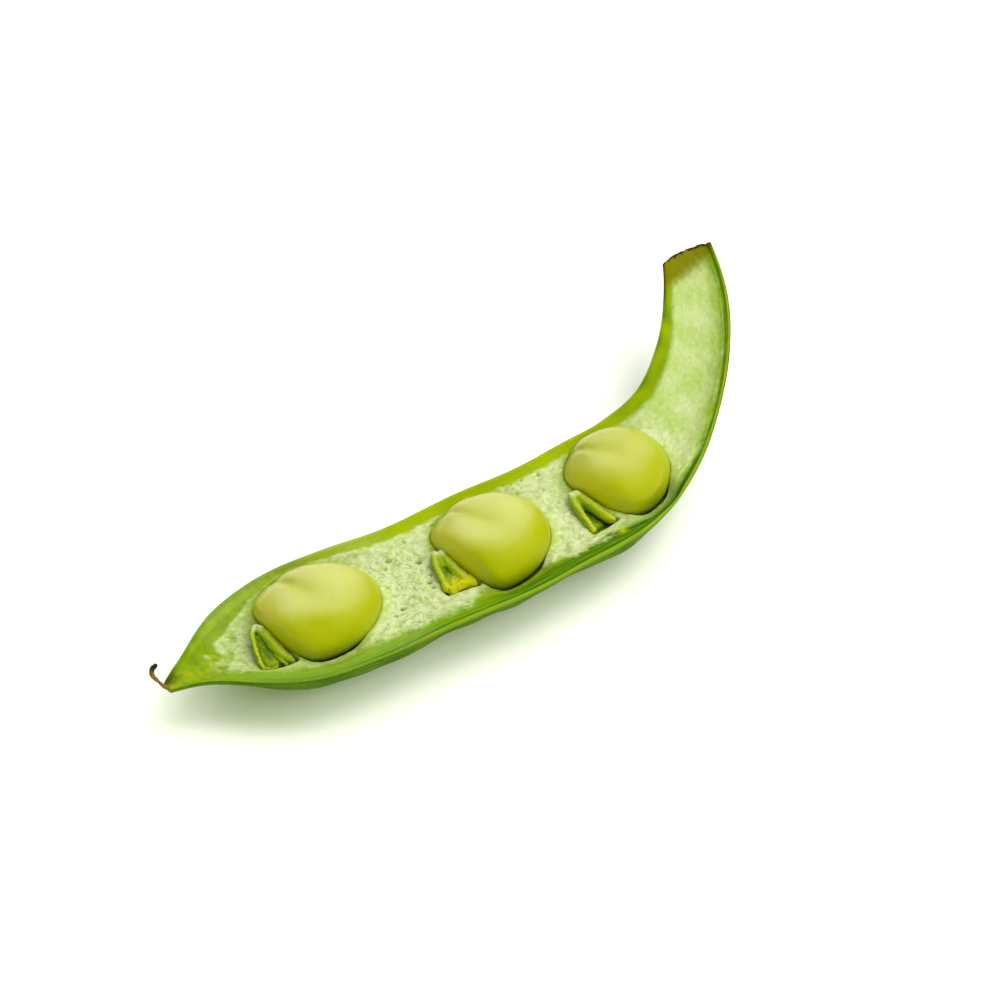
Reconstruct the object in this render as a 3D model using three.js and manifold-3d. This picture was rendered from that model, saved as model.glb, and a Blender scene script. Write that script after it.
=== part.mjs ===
// One half of a split broad bean pod, lying open with its three beans in place.
//
// Frame: millimetres, +Z up, the pod lies on z = 0. +X runs from the pointed beak to the torn
// stalk end, +Y points to the back rim (the seam that splits open), and -Y to the front rim
// (the thick seam that the seeds hang from). The origin is on the ground, in the middle of
// the pod's footprint.
//
// The pod is a curved shell. Its spine runs down the middle of the open side, and every shape
// is given in pod coordinates: s along the spine from the beak, u across to the back rim, and
// n upwards out of the open side.

import * as THREE from "three";
import { mergeVertices } from "three/addons/utils/BufferGeometryUtils.js";
import Module from "manifold-3d";

const wasm = await Module();
wasm.setup();

// Where the beak's point stands over the ground
const BEAK_X = -59.67;
const BEAK_Y = 9.23;

// Stations along the pod: s from the beak, heading in degrees from +X, height of the rims
// over the ground, half width to the front and to the back rim, depth of the shell under the
// rims, fullness (1 is a round belly, larger is a more pinched one) and depth of the hollow.
const STATIONS = [
  { s: 0, heading: 6, rim: 9.0, front: 0.9, back: 0.9, depth: 1.6, pinch: 1.0, hollow: 0.2 },
  { s: 5, heading: -4, rim: 9.2, front: 3.4, back: 3.2, depth: 3.2, pinch: 1.1, hollow: 1.6 },
  { s: 12, heading: -16, rim: 9.8, front: 7.6, back: 7.9, depth: 6.0, pinch: 1.2, hollow: 3.4 },
  { s: 21, heading: -19, rim: 10.2, front: 11.2, back: 11.0, depth: 10.3, pinch: 1.3, hollow: 3.2 },
  { s: 31, heading: -16, rim: 10.4, front: 11.8, back: 11.6, depth: 11.0, pinch: 1.4, hollow: 2.5 },
  { s: 43, heading: -13, rim: 10.4, front: 11.2, back: 11.0, depth: 8.2, pinch: 1.7, hollow: 2.4 },
  { s: 56, heading: -12, rim: 10.4, front: 11.6, back: 11.7, depth: 11.1, pinch: 1.7, hollow: 2.4 },
  { s: 67, heading: -9, rim: 10.4, front: 11.1, back: 11.3, depth: 8.4, pinch: 1.7, hollow: 2.4 },
  { s: 79, heading: -1, rim: 10.4, front: 11.0, back: 11.1, depth: 10.9, pinch: 1.5, hollow: 2.3 },
  { s: 89, heading: 12, rim: 10.8, front: 8.9, back: 9.3, depth: 8.2, pinch: 1.4, hollow: 2.2 },
  { s: 99, heading: 25, rim: 12.2, front: 7.0, back: 6.9, depth: 6.0, pinch: 1.3, hollow: 2.1 },
  { s: 109, heading: 36, rim: 14.6, front: 6.0, back: 6.0, depth: 5.0, pinch: 1.2, hollow: 2.0 },
  { s: 119, heading: 49, rim: 17.4, front: 5.2, back: 5.4, depth: 4.4, pinch: 1.2, hollow: 1.8 },
  { s: 127, heading: 61, rim: 20.0, front: 4.1, back: 4.7, depth: 4.0, pinch: 1.2, hollow: 1.5 },
];
const POD_LENGTH = STATIONS[STATIONS.length - 1].s;

// The rims: flat lip on top of the wall, then a smooth green band that slopes to the lining
const LIP = 0.7;
const FRONT_BAND = 2.7;
const BACK_BAND = 1.9;
const BAND_DROP = 0.7;
const BACK_PINCH = 1.0;

// The stalk end is torn on a slant: the front rim is longer than the back rim, and the wall
// between them bulges out
const TEAR_START = 112;
const TEAR_FRONT = 2.0;
const TEAR_BACK = -0.6;
const TEAR_BULGE = 1.3;

// How finely the shell is cut into facets
const SECTION_STEP = 2.0;
const BELLY_POINTS = 19;
const HOLLOW_POINTS = 17;
const SPINE_STEP = 0.5;

// The gap between neighbouring pieces that touch on the real pod
const GAP = 0.3;

// The three beans, in pod coordinates: centre, half sizes along, across and up, the flat side
// that faces the seed stalk, by its direction in degrees from +s and its distance, and the two
// directions of the crease
const BEANS = [
  {
    s: 26.0, u: 1.8, n: -1.6, along: 10.5, across: 8.4, up: 5.4,
    hilum: 202, hilumAt: 7.8, crease: [118, -59],
  },
  {
    s: 56.6, u: 1.4, n: -1.6, along: 10.1, across: 8.6, up: 5.6,
    hilum: 200, hilumAt: 6.9, crease: [107, -66],
  },
  {
    s: 82.0, u: 1.3, n: -1.5, along: 8.8, across: 8.4, up: 6.1,
    hilum: 193, hilumAt: 7.4, crease: [105, -60],
  },
];
const HILUM_ROUNDING = 1.2;
const BEAN_COLUMNS = 24;
const BEAN_ROWS = 14;

// The crease between a bean's large lobe and its small root lobe, in half sizes of the bean. It
// starts at the bean's edge in its first direction, heads in its second one, and fades away
const CREASE_DEPTH = 0.1;
const CREASE_WIDTH = 0.24;
const CREASE_FULL_TO = 0.1;
const CREASE_GONE_BY = 1.35;

// The seed stalks: a V of two straps from a pale tip down to the wall, with the tip and the
// two feet in pod coordinates
const SEED_STALKS = [
  { tip: [16.5, 3.4, -0.3], inner: [20.1, -5.7, -1.6], outer: [15.1, -4.6, -1.2] },
  { tip: [48.3, 3.7, 0.0], inner: [50.8, -4.8, -1.6], outer: [46.1, -4.5, -1.2] },
  { tip: [73.5, 2.6, 0.0], inner: [75.4, -5.9, -1.6], outer: [71.4, -6.2, -1.2] },
];
const STRAP_TIP_RADIUS = 0.6;
const STRAP_RADIUS = 0.95;
const STRAP_BOW = 0.4;
const STRAP_SIDES = 8;
const STRAP_STEPS = 5;

// The pit beside each bean that its seed stalk stands in: half sizes and depth of its middle
const PIT_ALONG = 3.0;
const PIT_ACROSS = 6.2;
const PIT_DEPTH = 3.4;
const PIT_MIDDLE = -1.4;
const PIT_COLUMNS = 16;
const PIT_ROWS = 10;

// The dried style that curls up from the beak, as points from the beak's tip
const STYLE_POINTS = [
  [-0.36, 0.1, -0.3],
  [-0.55, 1.25, 0.25],
  [-0.84, 2.3, 1.0],
  [-0.6, 2.85, 1.8],
  [0.3, 2.72, 2.55],
];
const STYLE_ROOT_RADIUS = 0.34;
const STYLE_TIP_RADIUS = 0.38;
const STYLE_SIDES = 8;
const STYLE_STEPS = 12;

// The ends of a strap or stem draw in to this share of their width
const ROUNDED_END = 0.6;

const FINISHES = {
  shell: new THREE.MeshStandardMaterial({ color: 0x7fa61f, roughness: 0.42, metalness: 0 }),
  seed: new THREE.MeshStandardMaterial({ color: 0xc2c73f, roughness: 0.34, metalness: 0 }),
  stalk: new THREE.MeshStandardMaterial({ color: 0xa9b62a, roughness: 0.5, metalness: 0 }),
  dry: new THREE.MeshStandardMaterial({ color: 0x4a3512, roughness: 0.8, metalness: 0 }),
};

// The value of one station column at s, on a smooth curve through the stations
function stationValue(key, s) {
  const last = STATIONS.length - 1;
  let i = 0;
  while (i < last - 1 && STATIONS[i + 1].s <= s) i += 1;
  const slope = (k) => {
    const before = STATIONS[Math.max(k - 1, 0)];
    const after = STATIONS[Math.min(k + 1, last)];
    return (after[key] - before[key]) / (after.s - before.s);
  };
  const a = STATIONS[i];
  const b = STATIONS[i + 1];
  const span = b.s - a.s;
  const t = (s - a.s) / span;
  const values = (2 * t ** 3 - 3 * t ** 2 + 1) * a[key] + (3 * t ** 2 - 2 * t ** 3) * b[key];
  const slopes = (t ** 3 - 2 * t ** 2 + t) * slope(i) + (t ** 3 - t ** 2) * slope(i + 1);
  return values + span * slopes;
}

// The direction of the spine at s: its heading, and its climb from the rim height
function spineDirection(s) {
  const heading = THREE.MathUtils.degToRad(stationValue("heading", s));
  const reach = SPINE_STEP / 2;
  const ahead = Math.min(s + reach, POD_LENGTH);
  const behind = Math.max(s - reach, 0);
  const climb = (stationValue("rim", ahead) - stationValue("rim", behind)) / (ahead - behind);
  const level = Math.sqrt(1 - climb * climb);
  return new THREE.Vector3(Math.cos(heading) * level, Math.sin(heading) * level, climb);
}

// The spine's ground track, walked from the beak in short steps
const spineTrack = [new THREE.Vector2(BEAK_X, BEAK_Y)];
for (let s = 0; s < POD_LENGTH; s += SPINE_STEP) {
  const direction = spineDirection(s + SPINE_STEP / 2);
  const here = spineTrack[spineTrack.length - 1];
  spineTrack.push(new THREE.Vector2(here.x + direction.x * SPINE_STEP, here.y + direction.y * SPINE_STEP));
}

// The pod's own frame at s: the point on the spine, and the directions along, across and up
function podFrame(s) {
  const step = THREE.MathUtils.clamp(s / SPINE_STEP, 0, spineTrack.length - 1.001);
  const i = Math.floor(step);
  const ground = spineTrack[i].clone().lerp(spineTrack[i + 1], step - i);
  const along = spineDirection(s);
  const across = new THREE.Vector3(-along.y, along.x, 0).normalize();
  const up = new THREE.Vector3().crossVectors(along, across).normalize();
  const point = new THREE.Vector3(ground.x, ground.y, stationValue("rim", s));
  return { point, along, across, up };
}

// A point given in pod coordinates
function podPoint(s, u, n) {
  const frame = podFrame(s);
  return frame.point.clone().addScaledVector(frame.across, u).addScaledVector(frame.up, n);
}

// A point of the shell: in pod coordinates, pulled along by the slant of the torn end, and
// pressed flat where the belly rests on the ground
function shellPoint(s, u, n) {
  const point = podPoint(s, u, n);
  const ramp = THREE.MathUtils.clamp((s - TEAR_START) / (POD_LENGTH - TEAR_START), 0, 1) ** 2;
  const front = stationValue("front", s);
  const over = (u + front) / (front + stationValue("back", s));
  const pull = THREE.MathUtils.lerp(TEAR_FRONT, TEAR_BACK, over) + TEAR_BULGE * 4 * over * (1 - over);
  point.addScaledVector(podFrame(s).along, pull * ramp);
  point.z = Math.max(point.z, 0);
  return point;
}

// The outside of the shell at s, from the front rim under the belly to the back rim
function bellySection(s) {
  const points = [];
  for (let k = 0; k < BELLY_POINTS; k += 1) {
    const turn = (Math.PI * k) / (BELLY_POINTS - 1);
    const side = Math.cos(turn);
    const halfWidth = stationValue(side > 0 ? "front" : "back", s);
    const pinch = side > 0 ? stationValue("pinch", s) : BACK_PINCH;
    const drop = stationValue("depth", s) * Math.abs(Math.sin(turn)) ** pinch;
    points.push(shellPoint(s, -side * halfWidth, -drop));
  }
  return points;
}

// How deep the open side lies at s and u: a sloping band inside each rim, then the lining's
// shallow trough between them
function hollowDepth(s, u) {
  const front = stationValue("front", s);
  const back = stationValue("back", s);
  const narrow = Math.min(1, (front + back) / (3 * (FRONT_BAND + BACK_BAND)));
  const frontBand = FRONT_BAND * narrow;
  const backBand = BACK_BAND * narrow;
  const bandDrop = Math.min(BAND_DROP, stationValue("hollow", s));
  if (u < frontBand - front) return (bandDrop * (u + front)) / frontBand;
  if (u > back - backBand) return (bandDrop * (back - u)) / backBand;
  const middle = (back - backBand - front + frontBand) / 2;
  const half = (back - backBand + front - frontBand) / 2;
  const bowl = 1 - Math.abs((u - middle) / half) ** 3;
  return bandDrop + (stationValue("hollow", s) - bandDrop) * bowl;
}

// The open side of the shell at s, from lip to lip
function hollowSection(s) {
  const front = stationValue("front", s);
  const back = stationValue("back", s);
  const lip = Math.min(LIP, front / 3);
  const points = [];
  for (let k = 0; k < HOLLOW_POINTS; k += 1) {
    const swing = (1 - Math.cos((Math.PI * k) / (HOLLOW_POINTS - 1))) / 2;
    const even = k / (HOLLOW_POINTS - 1);
    const u = THREE.MathUtils.lerp(lip - front, back - lip, (swing + even) / 2);
    points.push(shellPoint(s, u, -hollowDepth(s, u)));
  }
  return points;
}

// A closed geometry from a list of corner points and a list of four-cornered or
// three-cornered faces that turn outwards
function closedGeometry(points, faces) {
  const geometry = new THREE.BufferGeometry();
  const places = points.flatMap((p) => [p.x, p.y, p.z]);
  geometry.setAttribute("position", new THREE.Float32BufferAttribute(places, 3));
  geometry.setIndex(faces.flatMap(([a, b, c, d]) => (d === undefined ? [a, b, c] : [a, b, c, a, c, d])));
  geometry.computeVertexNormals();
  return geometry;
}

// The plain shell, before the beans' pockets: belly and open side, joined along the rims and
// over both ends
function plainShell() {
  const sections = Math.round(POD_LENGTH / SECTION_STEP);
  const row = BELLY_POINTS + HOLLOW_POINTS;
  const points = [];
  const faces = [];
  for (let i = 0; i <= sections; i += 1) {
    const s = (POD_LENGTH * i) / sections;
    points.push(...bellySection(s), ...hollowSection(s).reverse());
  }
  for (let i = 0; i < sections; i += 1) {
    for (let k = 0; k < row; k += 1) {
      const next = (k + 1) % row;
      faces.push([i * row + k, i * row + next, (i + 1) * row + next, (i + 1) * row + k]);
    }
  }
  const beak = points.slice(0, row);
  const torn = points.slice(-row);
  faces.push(...endFaces(beak, 0, true), ...endFaces(torn, sections * row, false));
  return closedGeometry(points, faces);
}

// The end of the shell, triangulated in its own flat outline
function endFaces(section, first, facesBack) {
  const origin = section[0];
  const across = section[BELLY_POINTS - 1].clone().sub(origin).normalize();
  const outline = section.map((p) => {
    const offset = p.clone().sub(origin);
    return new THREE.Vector2(offset.dot(across), offset.z);
  });
  const turnsLeft = !THREE.ShapeUtils.isClockWise(outline);
  return THREE.ShapeUtils.triangulateShape(outline, []).map(([a, b, c]) => {
    const kept = turnsLeft !== facesBack;
    return kept ? [first + a, first + b, first + c] : [first + a, first + c, first + b];
  });
}

// A bean's surface in its own frame, from the direction of a point on the unit sphere
function beanSurface(bean, direction, grow) {
  const [start, heading] = bean.crease.map(THREE.MathUtils.degToRad);
  const ahead = direction.x - Math.cos(start);
  const aside = direction.y - Math.sin(start);
  const down = ahead * Math.cos(heading) + aside * Math.sin(heading);
  const off = aside * Math.cos(heading) - ahead * Math.sin(heading);
  const fade = 1 - THREE.MathUtils.smoothstep(down, CREASE_FULL_TO, CREASE_GONE_BY);
  const scale = 1 - CREASE_DEPTH * fade * Math.exp(-((off / CREASE_WIDTH) ** 2));
  const point = new THREE.Vector3(
    direction.x * bean.along * scale,
    direction.y * bean.across * scale,
    direction.z * bean.up * scale,
  );
  const hilum = THREE.MathUtils.degToRad(bean.hilum);
  const reach = point.x * Math.cos(hilum) + point.y * Math.sin(hilum);
  const past = Math.max(reach - bean.hilumAt + HILUM_ROUNDING, 0);
  const pushed = past - HILUM_ROUNDING * (1 - Math.exp(-past / HILUM_ROUNDING));
  point.x -= Math.cos(hilum) * pushed;
  point.y -= Math.sin(hilum) * pushed;
  return point.addScaledVector(direction, grow);
}

// One bean, grown on every side by a clearance where it serves to cut its pocket
function beanGeometry(bean, grow = 0) {
  const geometry = new THREE.SphereGeometry(1, BEAN_COLUMNS, BEAN_ROWS).rotateX(Math.PI / 2);
  const position = geometry.getAttribute("position");
  const direction = new THREE.Vector3();
  for (let i = 0; i < position.count; i += 1) {
    direction.fromBufferAttribute(position, i).normalize();
    const point = beanSurface(bean, direction, grow);
    position.setXYZ(i, point.x, point.y, point.z);
  }
  geometry.deleteAttribute("uv");
  geometry.deleteAttribute("normal");
  return mergeVertices(geometry, 1e-4);
}

// The place of a bean: its frame on the pod's, at its station
function beanPlace(bean) {
  const frame = podFrame(bean.s);
  const place = new THREE.Matrix4().makeBasis(frame.along, frame.across, frame.up);
  return place.setPosition(podPoint(bean.s, bean.u, bean.n));
}

// A round strap or stem along a smooth line of points, tapering from its root to its tip,
// with rounded ends
function taperedStem(points, rootRadius, tipRadius, sides, steps, grow = 0) {
  const line = new THREE.CatmullRomCurve3(points);
  const frames = line.computeFrenetFrames(steps, false);
  const ring = [];
  const faces = [];
  for (let i = 0; i <= steps; i += 1) {
    const centre = line.getPointAt(i / steps);
    const drawnIn = i === 0 || i === steps ? ROUNDED_END : 1;
    const radius = THREE.MathUtils.lerp(rootRadius, tipRadius, i / steps) * drawnIn + grow;
    for (let k = 0; k < sides; k += 1) {
      const turn = (2 * Math.PI * k) / sides;
      const offset = frames.normals[i].clone().multiplyScalar(Math.cos(turn) * radius);
      offset.addScaledVector(frames.binormals[i], Math.sin(turn) * radius);
      ring.push(centre.clone().add(offset));
    }
  }
  for (let i = 0; i < steps; i += 1) {
    for (let k = 0; k < sides; k += 1) {
      const next = (k + 1) % sides;
      faces.push([i * sides + k, i * sides + next, (i + 1) * sides + next, (i + 1) * sides + k]);
    }
  }
  const root = ring.length;
  const tip = root + 1;
  ring.push(line.getPointAt(0).addScaledVector(frames.tangents[0], -rootRadius * 0.5 - grow));
  ring.push(line.getPointAt(1).addScaledVector(frames.tangents[steps], tipRadius * 0.5 + grow));
  for (let k = 0; k < sides; k += 1) {
    const next = (k + 1) % sides;
    faces.push([root, next, k], [tip, steps * sides + k, steps * sides + next]);
  }
  return closedGeometry(ring, faces);
}

// A closed geometry as a solid for joining and cutting, at a place
function solidOf(geometry, place = new THREE.Matrix4()) {
  const bare = geometry.clone().applyMatrix4(place);
  bare.deleteAttribute("normal");
  const merged = mergeVertices(bare, 1e-4);
  return new wasm.Manifold(
    new wasm.Mesh({
      numProp: 3,
      vertProperties: new Float32Array(merged.getAttribute("position").array),
      triVerts: new Uint32Array(merged.index.array),
    }),
  );
}

// A solid's largest body back as a geometry
function geometryOf(solid) {
  const bodies = solid.decompose().sort((a, b) => b.volume() - a.volume());
  const mesh = bodies[0].getMesh();
  const geometry = new THREE.BufferGeometry();
  geometry.setAttribute("position", new THREE.BufferAttribute(new Float32Array(mesh.vertProperties), 3));
  geometry.setIndex(new THREE.BufferAttribute(new Uint32Array(mesh.triVerts), 1));
  geometry.computeVertexNormals();
  return geometry;
}

// The two straps of a seed stalk and the web at their feet
function seedStalkSolid(stalk, grow = 0) {
  const [tip, inner, outer] = [stalk.tip, stalk.inner, stalk.outer].map((p) => podPoint(...p));
  const strap = (foot) => {
    const bow = foot.clone().lerp(tip, 0.5);
    bow.z += STRAP_BOW;
    const line = [foot, bow, tip];
    return solidOf(taperedStem(line, STRAP_RADIUS, STRAP_TIP_RADIUS, STRAP_SIDES, STRAP_STEPS, grow));
  };
  const middle = outer.clone().lerp(inner, 0.5);
  const feet = [outer, middle, inner];
  const web = taperedStem(feet, STRAP_RADIUS, STRAP_RADIUS, STRAP_SIDES, STRAP_STEPS, grow);
  return strap(inner).add(strap(outer)).add(solidOf(web));
}

// The pit that a seed stalk stands in, as a solid to cut away
function pitSolid(stalk) {
  const tip = podPoint(...stalk.tip);
  const foot = podPoint(...stalk.inner).lerp(podPoint(...stalk.outer), 0.5);
  const frame = podFrame(stalk.tip[0]);
  const length = tip.clone().sub(foot).projectOnPlane(frame.up).normalize();
  const side = new THREE.Vector3().crossVectors(length, frame.up).normalize();
  const place = new THREE.Matrix4().makeBasis(side, length, frame.up);
  place.setPosition(foot.lerp(tip, 0.5).setZ(frame.point.z + PIT_MIDDLE));
  const geometry = new THREE.SphereGeometry(1, PIT_COLUMNS, PIT_ROWS).rotateX(Math.PI / 2);
  geometry.scale(PIT_ALONG, PIT_ACROSS, PIT_DEPTH);
  geometry.deleteAttribute("uv");
  geometry.deleteAttribute("normal");
  return solidOf(mergeVertices(geometry, 1e-4), place);
}

// The shell with a pocket pressed in it by each bean, and a pit for each seed stalk
function podShell() {
  let shell = solidOf(plainShell());
  for (const bean of BEANS) {
    shell = shell.subtract(solidOf(beanGeometry(bean, GAP), beanPlace(bean)));
  }
  for (const stalk of SEED_STALKS) {
    shell = shell.subtract(pitSolid(stalk)).subtract(seedStalkSolid(stalk, GAP));
  }
  const mesh = new THREE.Mesh(geometryOf(shell), FINISHES.shell);
  mesh.name = "pod_valve";
  return mesh;
}

// One bean, set in its pocket
function bean(index) {
  const mesh = new THREE.Mesh(beanGeometry(BEANS[index]), FINISHES.seed);
  mesh.geometry.computeVertexNormals();
  mesh.name = `bean_${index + 1}`;
  mesh.applyMatrix4(beanPlace(BEANS[index]));
  return mesh;
}

// One seed stalk, clear of the bean that it holds
function seedStalk(index) {
  const clear = solidOf(beanGeometry(BEANS[index], GAP), beanPlace(BEANS[index]));
  const stalk = seedStalkSolid(SEED_STALKS[index]).subtract(clear);
  const mesh = new THREE.Mesh(geometryOf(stalk), FINISHES.stalk);
  mesh.name = `funicle_${index + 1}`;
  return mesh;
}

// The dried style, curling up and back from the beak's tip
function driedStyle() {
  const tip = podPoint(0, 0, 0);
  const points = STYLE_POINTS.map(([x, y, z]) => tip.clone().add(new THREE.Vector3(x, y, z)));
  const stem = taperedStem(points, STYLE_ROOT_RADIUS, STYLE_TIP_RADIUS, STYLE_SIDES, STYLE_STEPS);
  const mesh = new THREE.Mesh(stem, FINISHES.dry);
  mesh.name = "dried_style";
  return mesh;
}

const pod = new THREE.Group();
pod.name = "broad_bean_pod";
pod.add(podShell(), driedStyle());
for (let i = 0; i < BEANS.length; i += 1) {
  pod.add(bean(i), seedStalk(i));
}

export default pod;
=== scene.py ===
"""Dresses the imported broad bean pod: wall, woolly lining, beans, seed stalks and dried style.

Lengths in the classes are millimetres. They turn into metres where a mesh is made. Most
places are given in the pod's own coordinates: s along its spine from the beak, u across to
the back rim and n upwards from the plane of its rims.
"""

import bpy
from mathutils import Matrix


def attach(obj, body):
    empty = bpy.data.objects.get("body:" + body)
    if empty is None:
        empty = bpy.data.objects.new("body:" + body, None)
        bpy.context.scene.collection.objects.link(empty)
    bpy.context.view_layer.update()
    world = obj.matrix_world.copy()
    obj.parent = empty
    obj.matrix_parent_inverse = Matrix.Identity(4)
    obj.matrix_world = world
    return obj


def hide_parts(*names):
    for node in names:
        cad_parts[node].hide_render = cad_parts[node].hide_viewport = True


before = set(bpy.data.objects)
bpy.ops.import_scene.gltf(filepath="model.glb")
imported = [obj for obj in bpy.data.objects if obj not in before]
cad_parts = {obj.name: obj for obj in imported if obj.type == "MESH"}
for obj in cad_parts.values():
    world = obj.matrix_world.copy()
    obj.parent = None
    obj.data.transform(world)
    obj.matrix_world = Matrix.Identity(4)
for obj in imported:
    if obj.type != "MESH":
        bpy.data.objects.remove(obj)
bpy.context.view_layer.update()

import logging
import math
from dataclasses import dataclass, field
from enum import Enum
from typing import Any

import bmesh
import bpy
import numpy as np
from mathutils import Vector

LOG = logging.getLogger("pod")
MM = 0.001
BODY = "root"

# Stretches of the spine over which something sets in: the rims, the belly's waves, the ridge on
# the front rim, the back rim's yellow green, and the neck's calmer lining and narrower rims.
RIMS_GROW = (3, 12)
BELLY_GROWS = (3, 14)
RIDGE_START = (30, 46)
BACK_RIM_START = (18, 36)
NECK_START = (86, 98)
NECK_NARROWS = (86, 100)

Faces = list[tuple[int, ...]]
Point = tuple[float, float, float]
Shell = tuple[np.ndarray, Faces]


class MixSocket(Enum):
    """Sockets of a colour Mix node, which share their names with those of other data types."""

    FACTOR = 0
    BELOW = 6
    ABOVE = 7
    RESULT = 2


def linear(hex_colour: str) -> tuple[float, float, float, float]:
    """Turns an sRGB hex colour into linear RGBA.

    Args:
        hex_colour: A colour such as "#7fa61f".

    Returns:
        Red, green, blue and alpha in linear light.
    """
    channels = [int(hex_colour[i : i + 2], 16) / 255 for i in (1, 3, 5)]
    lit = [c / 12.92 if c <= 0.04045 else ((c + 0.055) / 1.055) ** 2.4 for c in channels]
    return (lit[0], lit[1], lit[2], 1.0)


def add(tree: bpy.types.NodeTree, kind: str, inputs: dict[Any, Any] | None = None, **settings: Any) -> Any:
    """Adds a node with its settings, its values and its links.

    Args:
        tree: The node tree to add to.
        kind: The node's type name.
        inputs: A value, hex colour, socket or node for each input, by name, number or
            MixSocket. A node stands for its first output, and a Mix node for its colour.
        settings: Values for the node's own properties.

    Returns:
        The new node.
    """
    node = tree.nodes.new(kind)
    for name, value in settings.items():
        setattr(node, name, value)
    for key, value in (inputs or {}).items():
        socket = node.inputs[key.value if isinstance(key, Enum) else key]
        if isinstance(value, bpy.types.Node):
            value = value.outputs[MixSocket.RESULT.value if value.bl_idname == "ShaderNodeMix" else 0]
        if isinstance(value, bpy.types.NodeSocket):
            tree.links.new(value, socket)
        else:
            socket.default_value = linear(value) if str(value).startswith("#") else value
    return node


class Coat:
    """A material in the making: its node tree, its Object coordinates and its piece's masks."""

    def __init__(self, name: str, *masks: str) -> None:
        """Makes the material.

        Args:
            name: The real material's name.
            masks: Attributes of the piece for it to read.
        """
        self.material = bpy.data.materials.new(name)
        self.material.use_nodes = True
        self.tree = self.material.node_tree
        self.tree.nodes.clear()
        self.place = add(self.tree, "ShaderNodeTexCoord").outputs["Object"]
        self.mask = {
            mask: add(self.tree, "ShaderNodeAttribute", attribute_name=mask).outputs["Fac"] for mask in masks
        }

    def layered(self, colour: Any, *layers: tuple[Any, Any]) -> Any:
        """Lays colours over one another.

        Args:
            colour: The lowest colour.
            layers: The share and the colour of each layer, from the lowest up.

        Returns:
            The topmost Mix node.
        """
        for share, above in layers:
            colour = add(self.tree, "ShaderNodeMix", {
                MixSocket.FACTOR: share, MixSocket.BELOW: colour, MixSocket.ABOVE: above,
            }, data_type="RGBA")
        return colour

    def finished(self, inputs: dict[str, Any], relief: dict[str, Any] | None = None) -> bpy.types.Material:
        """Ends the material with its shader.

        Args:
            inputs: The shader's inputs.
            relief: Inputs for the fine relief on the surface, if it has any.

        Returns:
            The material.
        """
        if relief:
            inputs = {**inputs, "Normal": add(self.tree, "ShaderNodeBump", relief)}
        shader = add(self.tree, "ShaderNodeBsdfPrincipled", inputs)
        add(self.tree, "ShaderNodeOutputMaterial", {"Surface": shader})
        return self.material


def smooth(value: Any, start: float, stop: float) -> Any:
    """Rises smoothly from 0 at start to 1 at stop, which may be the lower of the two."""
    t = np.clip((value - start) / (stop - start), 0.0, 1.0)
    return t * t * (3 - 2 * t)


def bump(value: Any, middle: float, width: float) -> Any:
    """Reads a smooth bump of height 1, whose width is its half width at a third of its height."""
    return np.exp(-(((value - middle) / width) ** 2))


def unit(rows: np.ndarray) -> np.ndarray:
    """Scales each row to length 1."""
    return rows / np.linalg.norm(rows, axis=1)[:, None]


def cubic(t: np.ndarray, low: Any, high: Any, low_slope: Any, high_slope: Any) -> np.ndarray:
    """Reads a smooth curve between two knots.

    Args:
        t: The share of the way from the lower knot to the higher.
        low: The curve's value at the lower knot.
        high: Its value at the higher knot.
        low_slope: Its rise over the whole way, as it leaves the lower knot.
        high_slope: Its rise over the whole way, as it reaches the higher knot.

    Returns:
        The curve's value at each t.
    """
    held = (2 * t**3 - 3 * t**2 + 1) * low + (3 * t**2 - 2 * t**3) * high
    return held + (t**3 - 2 * t**2 + t) * low_slope + (t**3 - t**2) * high_slope


def curve(knots: np.ndarray, count: int) -> np.ndarray:
    """Reads a smooth curve through evenly spaced knots.

    Args:
        knots: One row for each knot.
        count: How many places on the curve to read.

    Returns:
        One row for each place.
    """
    t = np.linspace(0, len(knots) - 1, count)
    slope = np.gradient(knots, axis=0)
    i = np.clip(t.astype(int), 0, len(knots) - 2)
    return cubic((t - i)[:, None], knots[i], knots[i + 1], slope[i], slope[i + 1])


def line_distance(points: np.ndarray, start: np.ndarray, end: np.ndarray) -> np.ndarray:
    """Measures how far points lie from a straight line between two ends.

    Args:
        points: Places, one row each.
        start: One end of the line.
        end: Its other end.

    Returns:
        Distances.
    """
    reach = end - start
    t = np.clip((points - start) @ reach / (reach @ reach), 0, 1)
    return np.linalg.norm(points - start - t[:, None] * reach, axis=1)


def outline_distance(points: np.ndarray, corners: np.ndarray) -> np.ndarray:
    """Measures how far points lie from a closed outline.

    Args:
        points: Places in a plane, one row each.
        corners: The outline's corners in order.

    Returns:
        Distances, negative inside.
    """
    nearest = np.full(len(points), np.inf)
    inside = np.zeros(len(points), dtype=bool)
    for start, end in zip(corners, np.roll(corners, -1, axis=0)):
        nearest = np.minimum(nearest, line_distance(points, start, end))
        if start[1] != end[1]:
            spans = (start[1] > points[:, 1]) != (end[1] > points[:, 1])
            crossing = start[0] + (points[:, 1] - start[1]) * (end - start)[0] / (end - start)[1]
            inside ^= spans & (points[:, 0] < crossing)
    return np.where(inside, -nearest, nearest)


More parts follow.
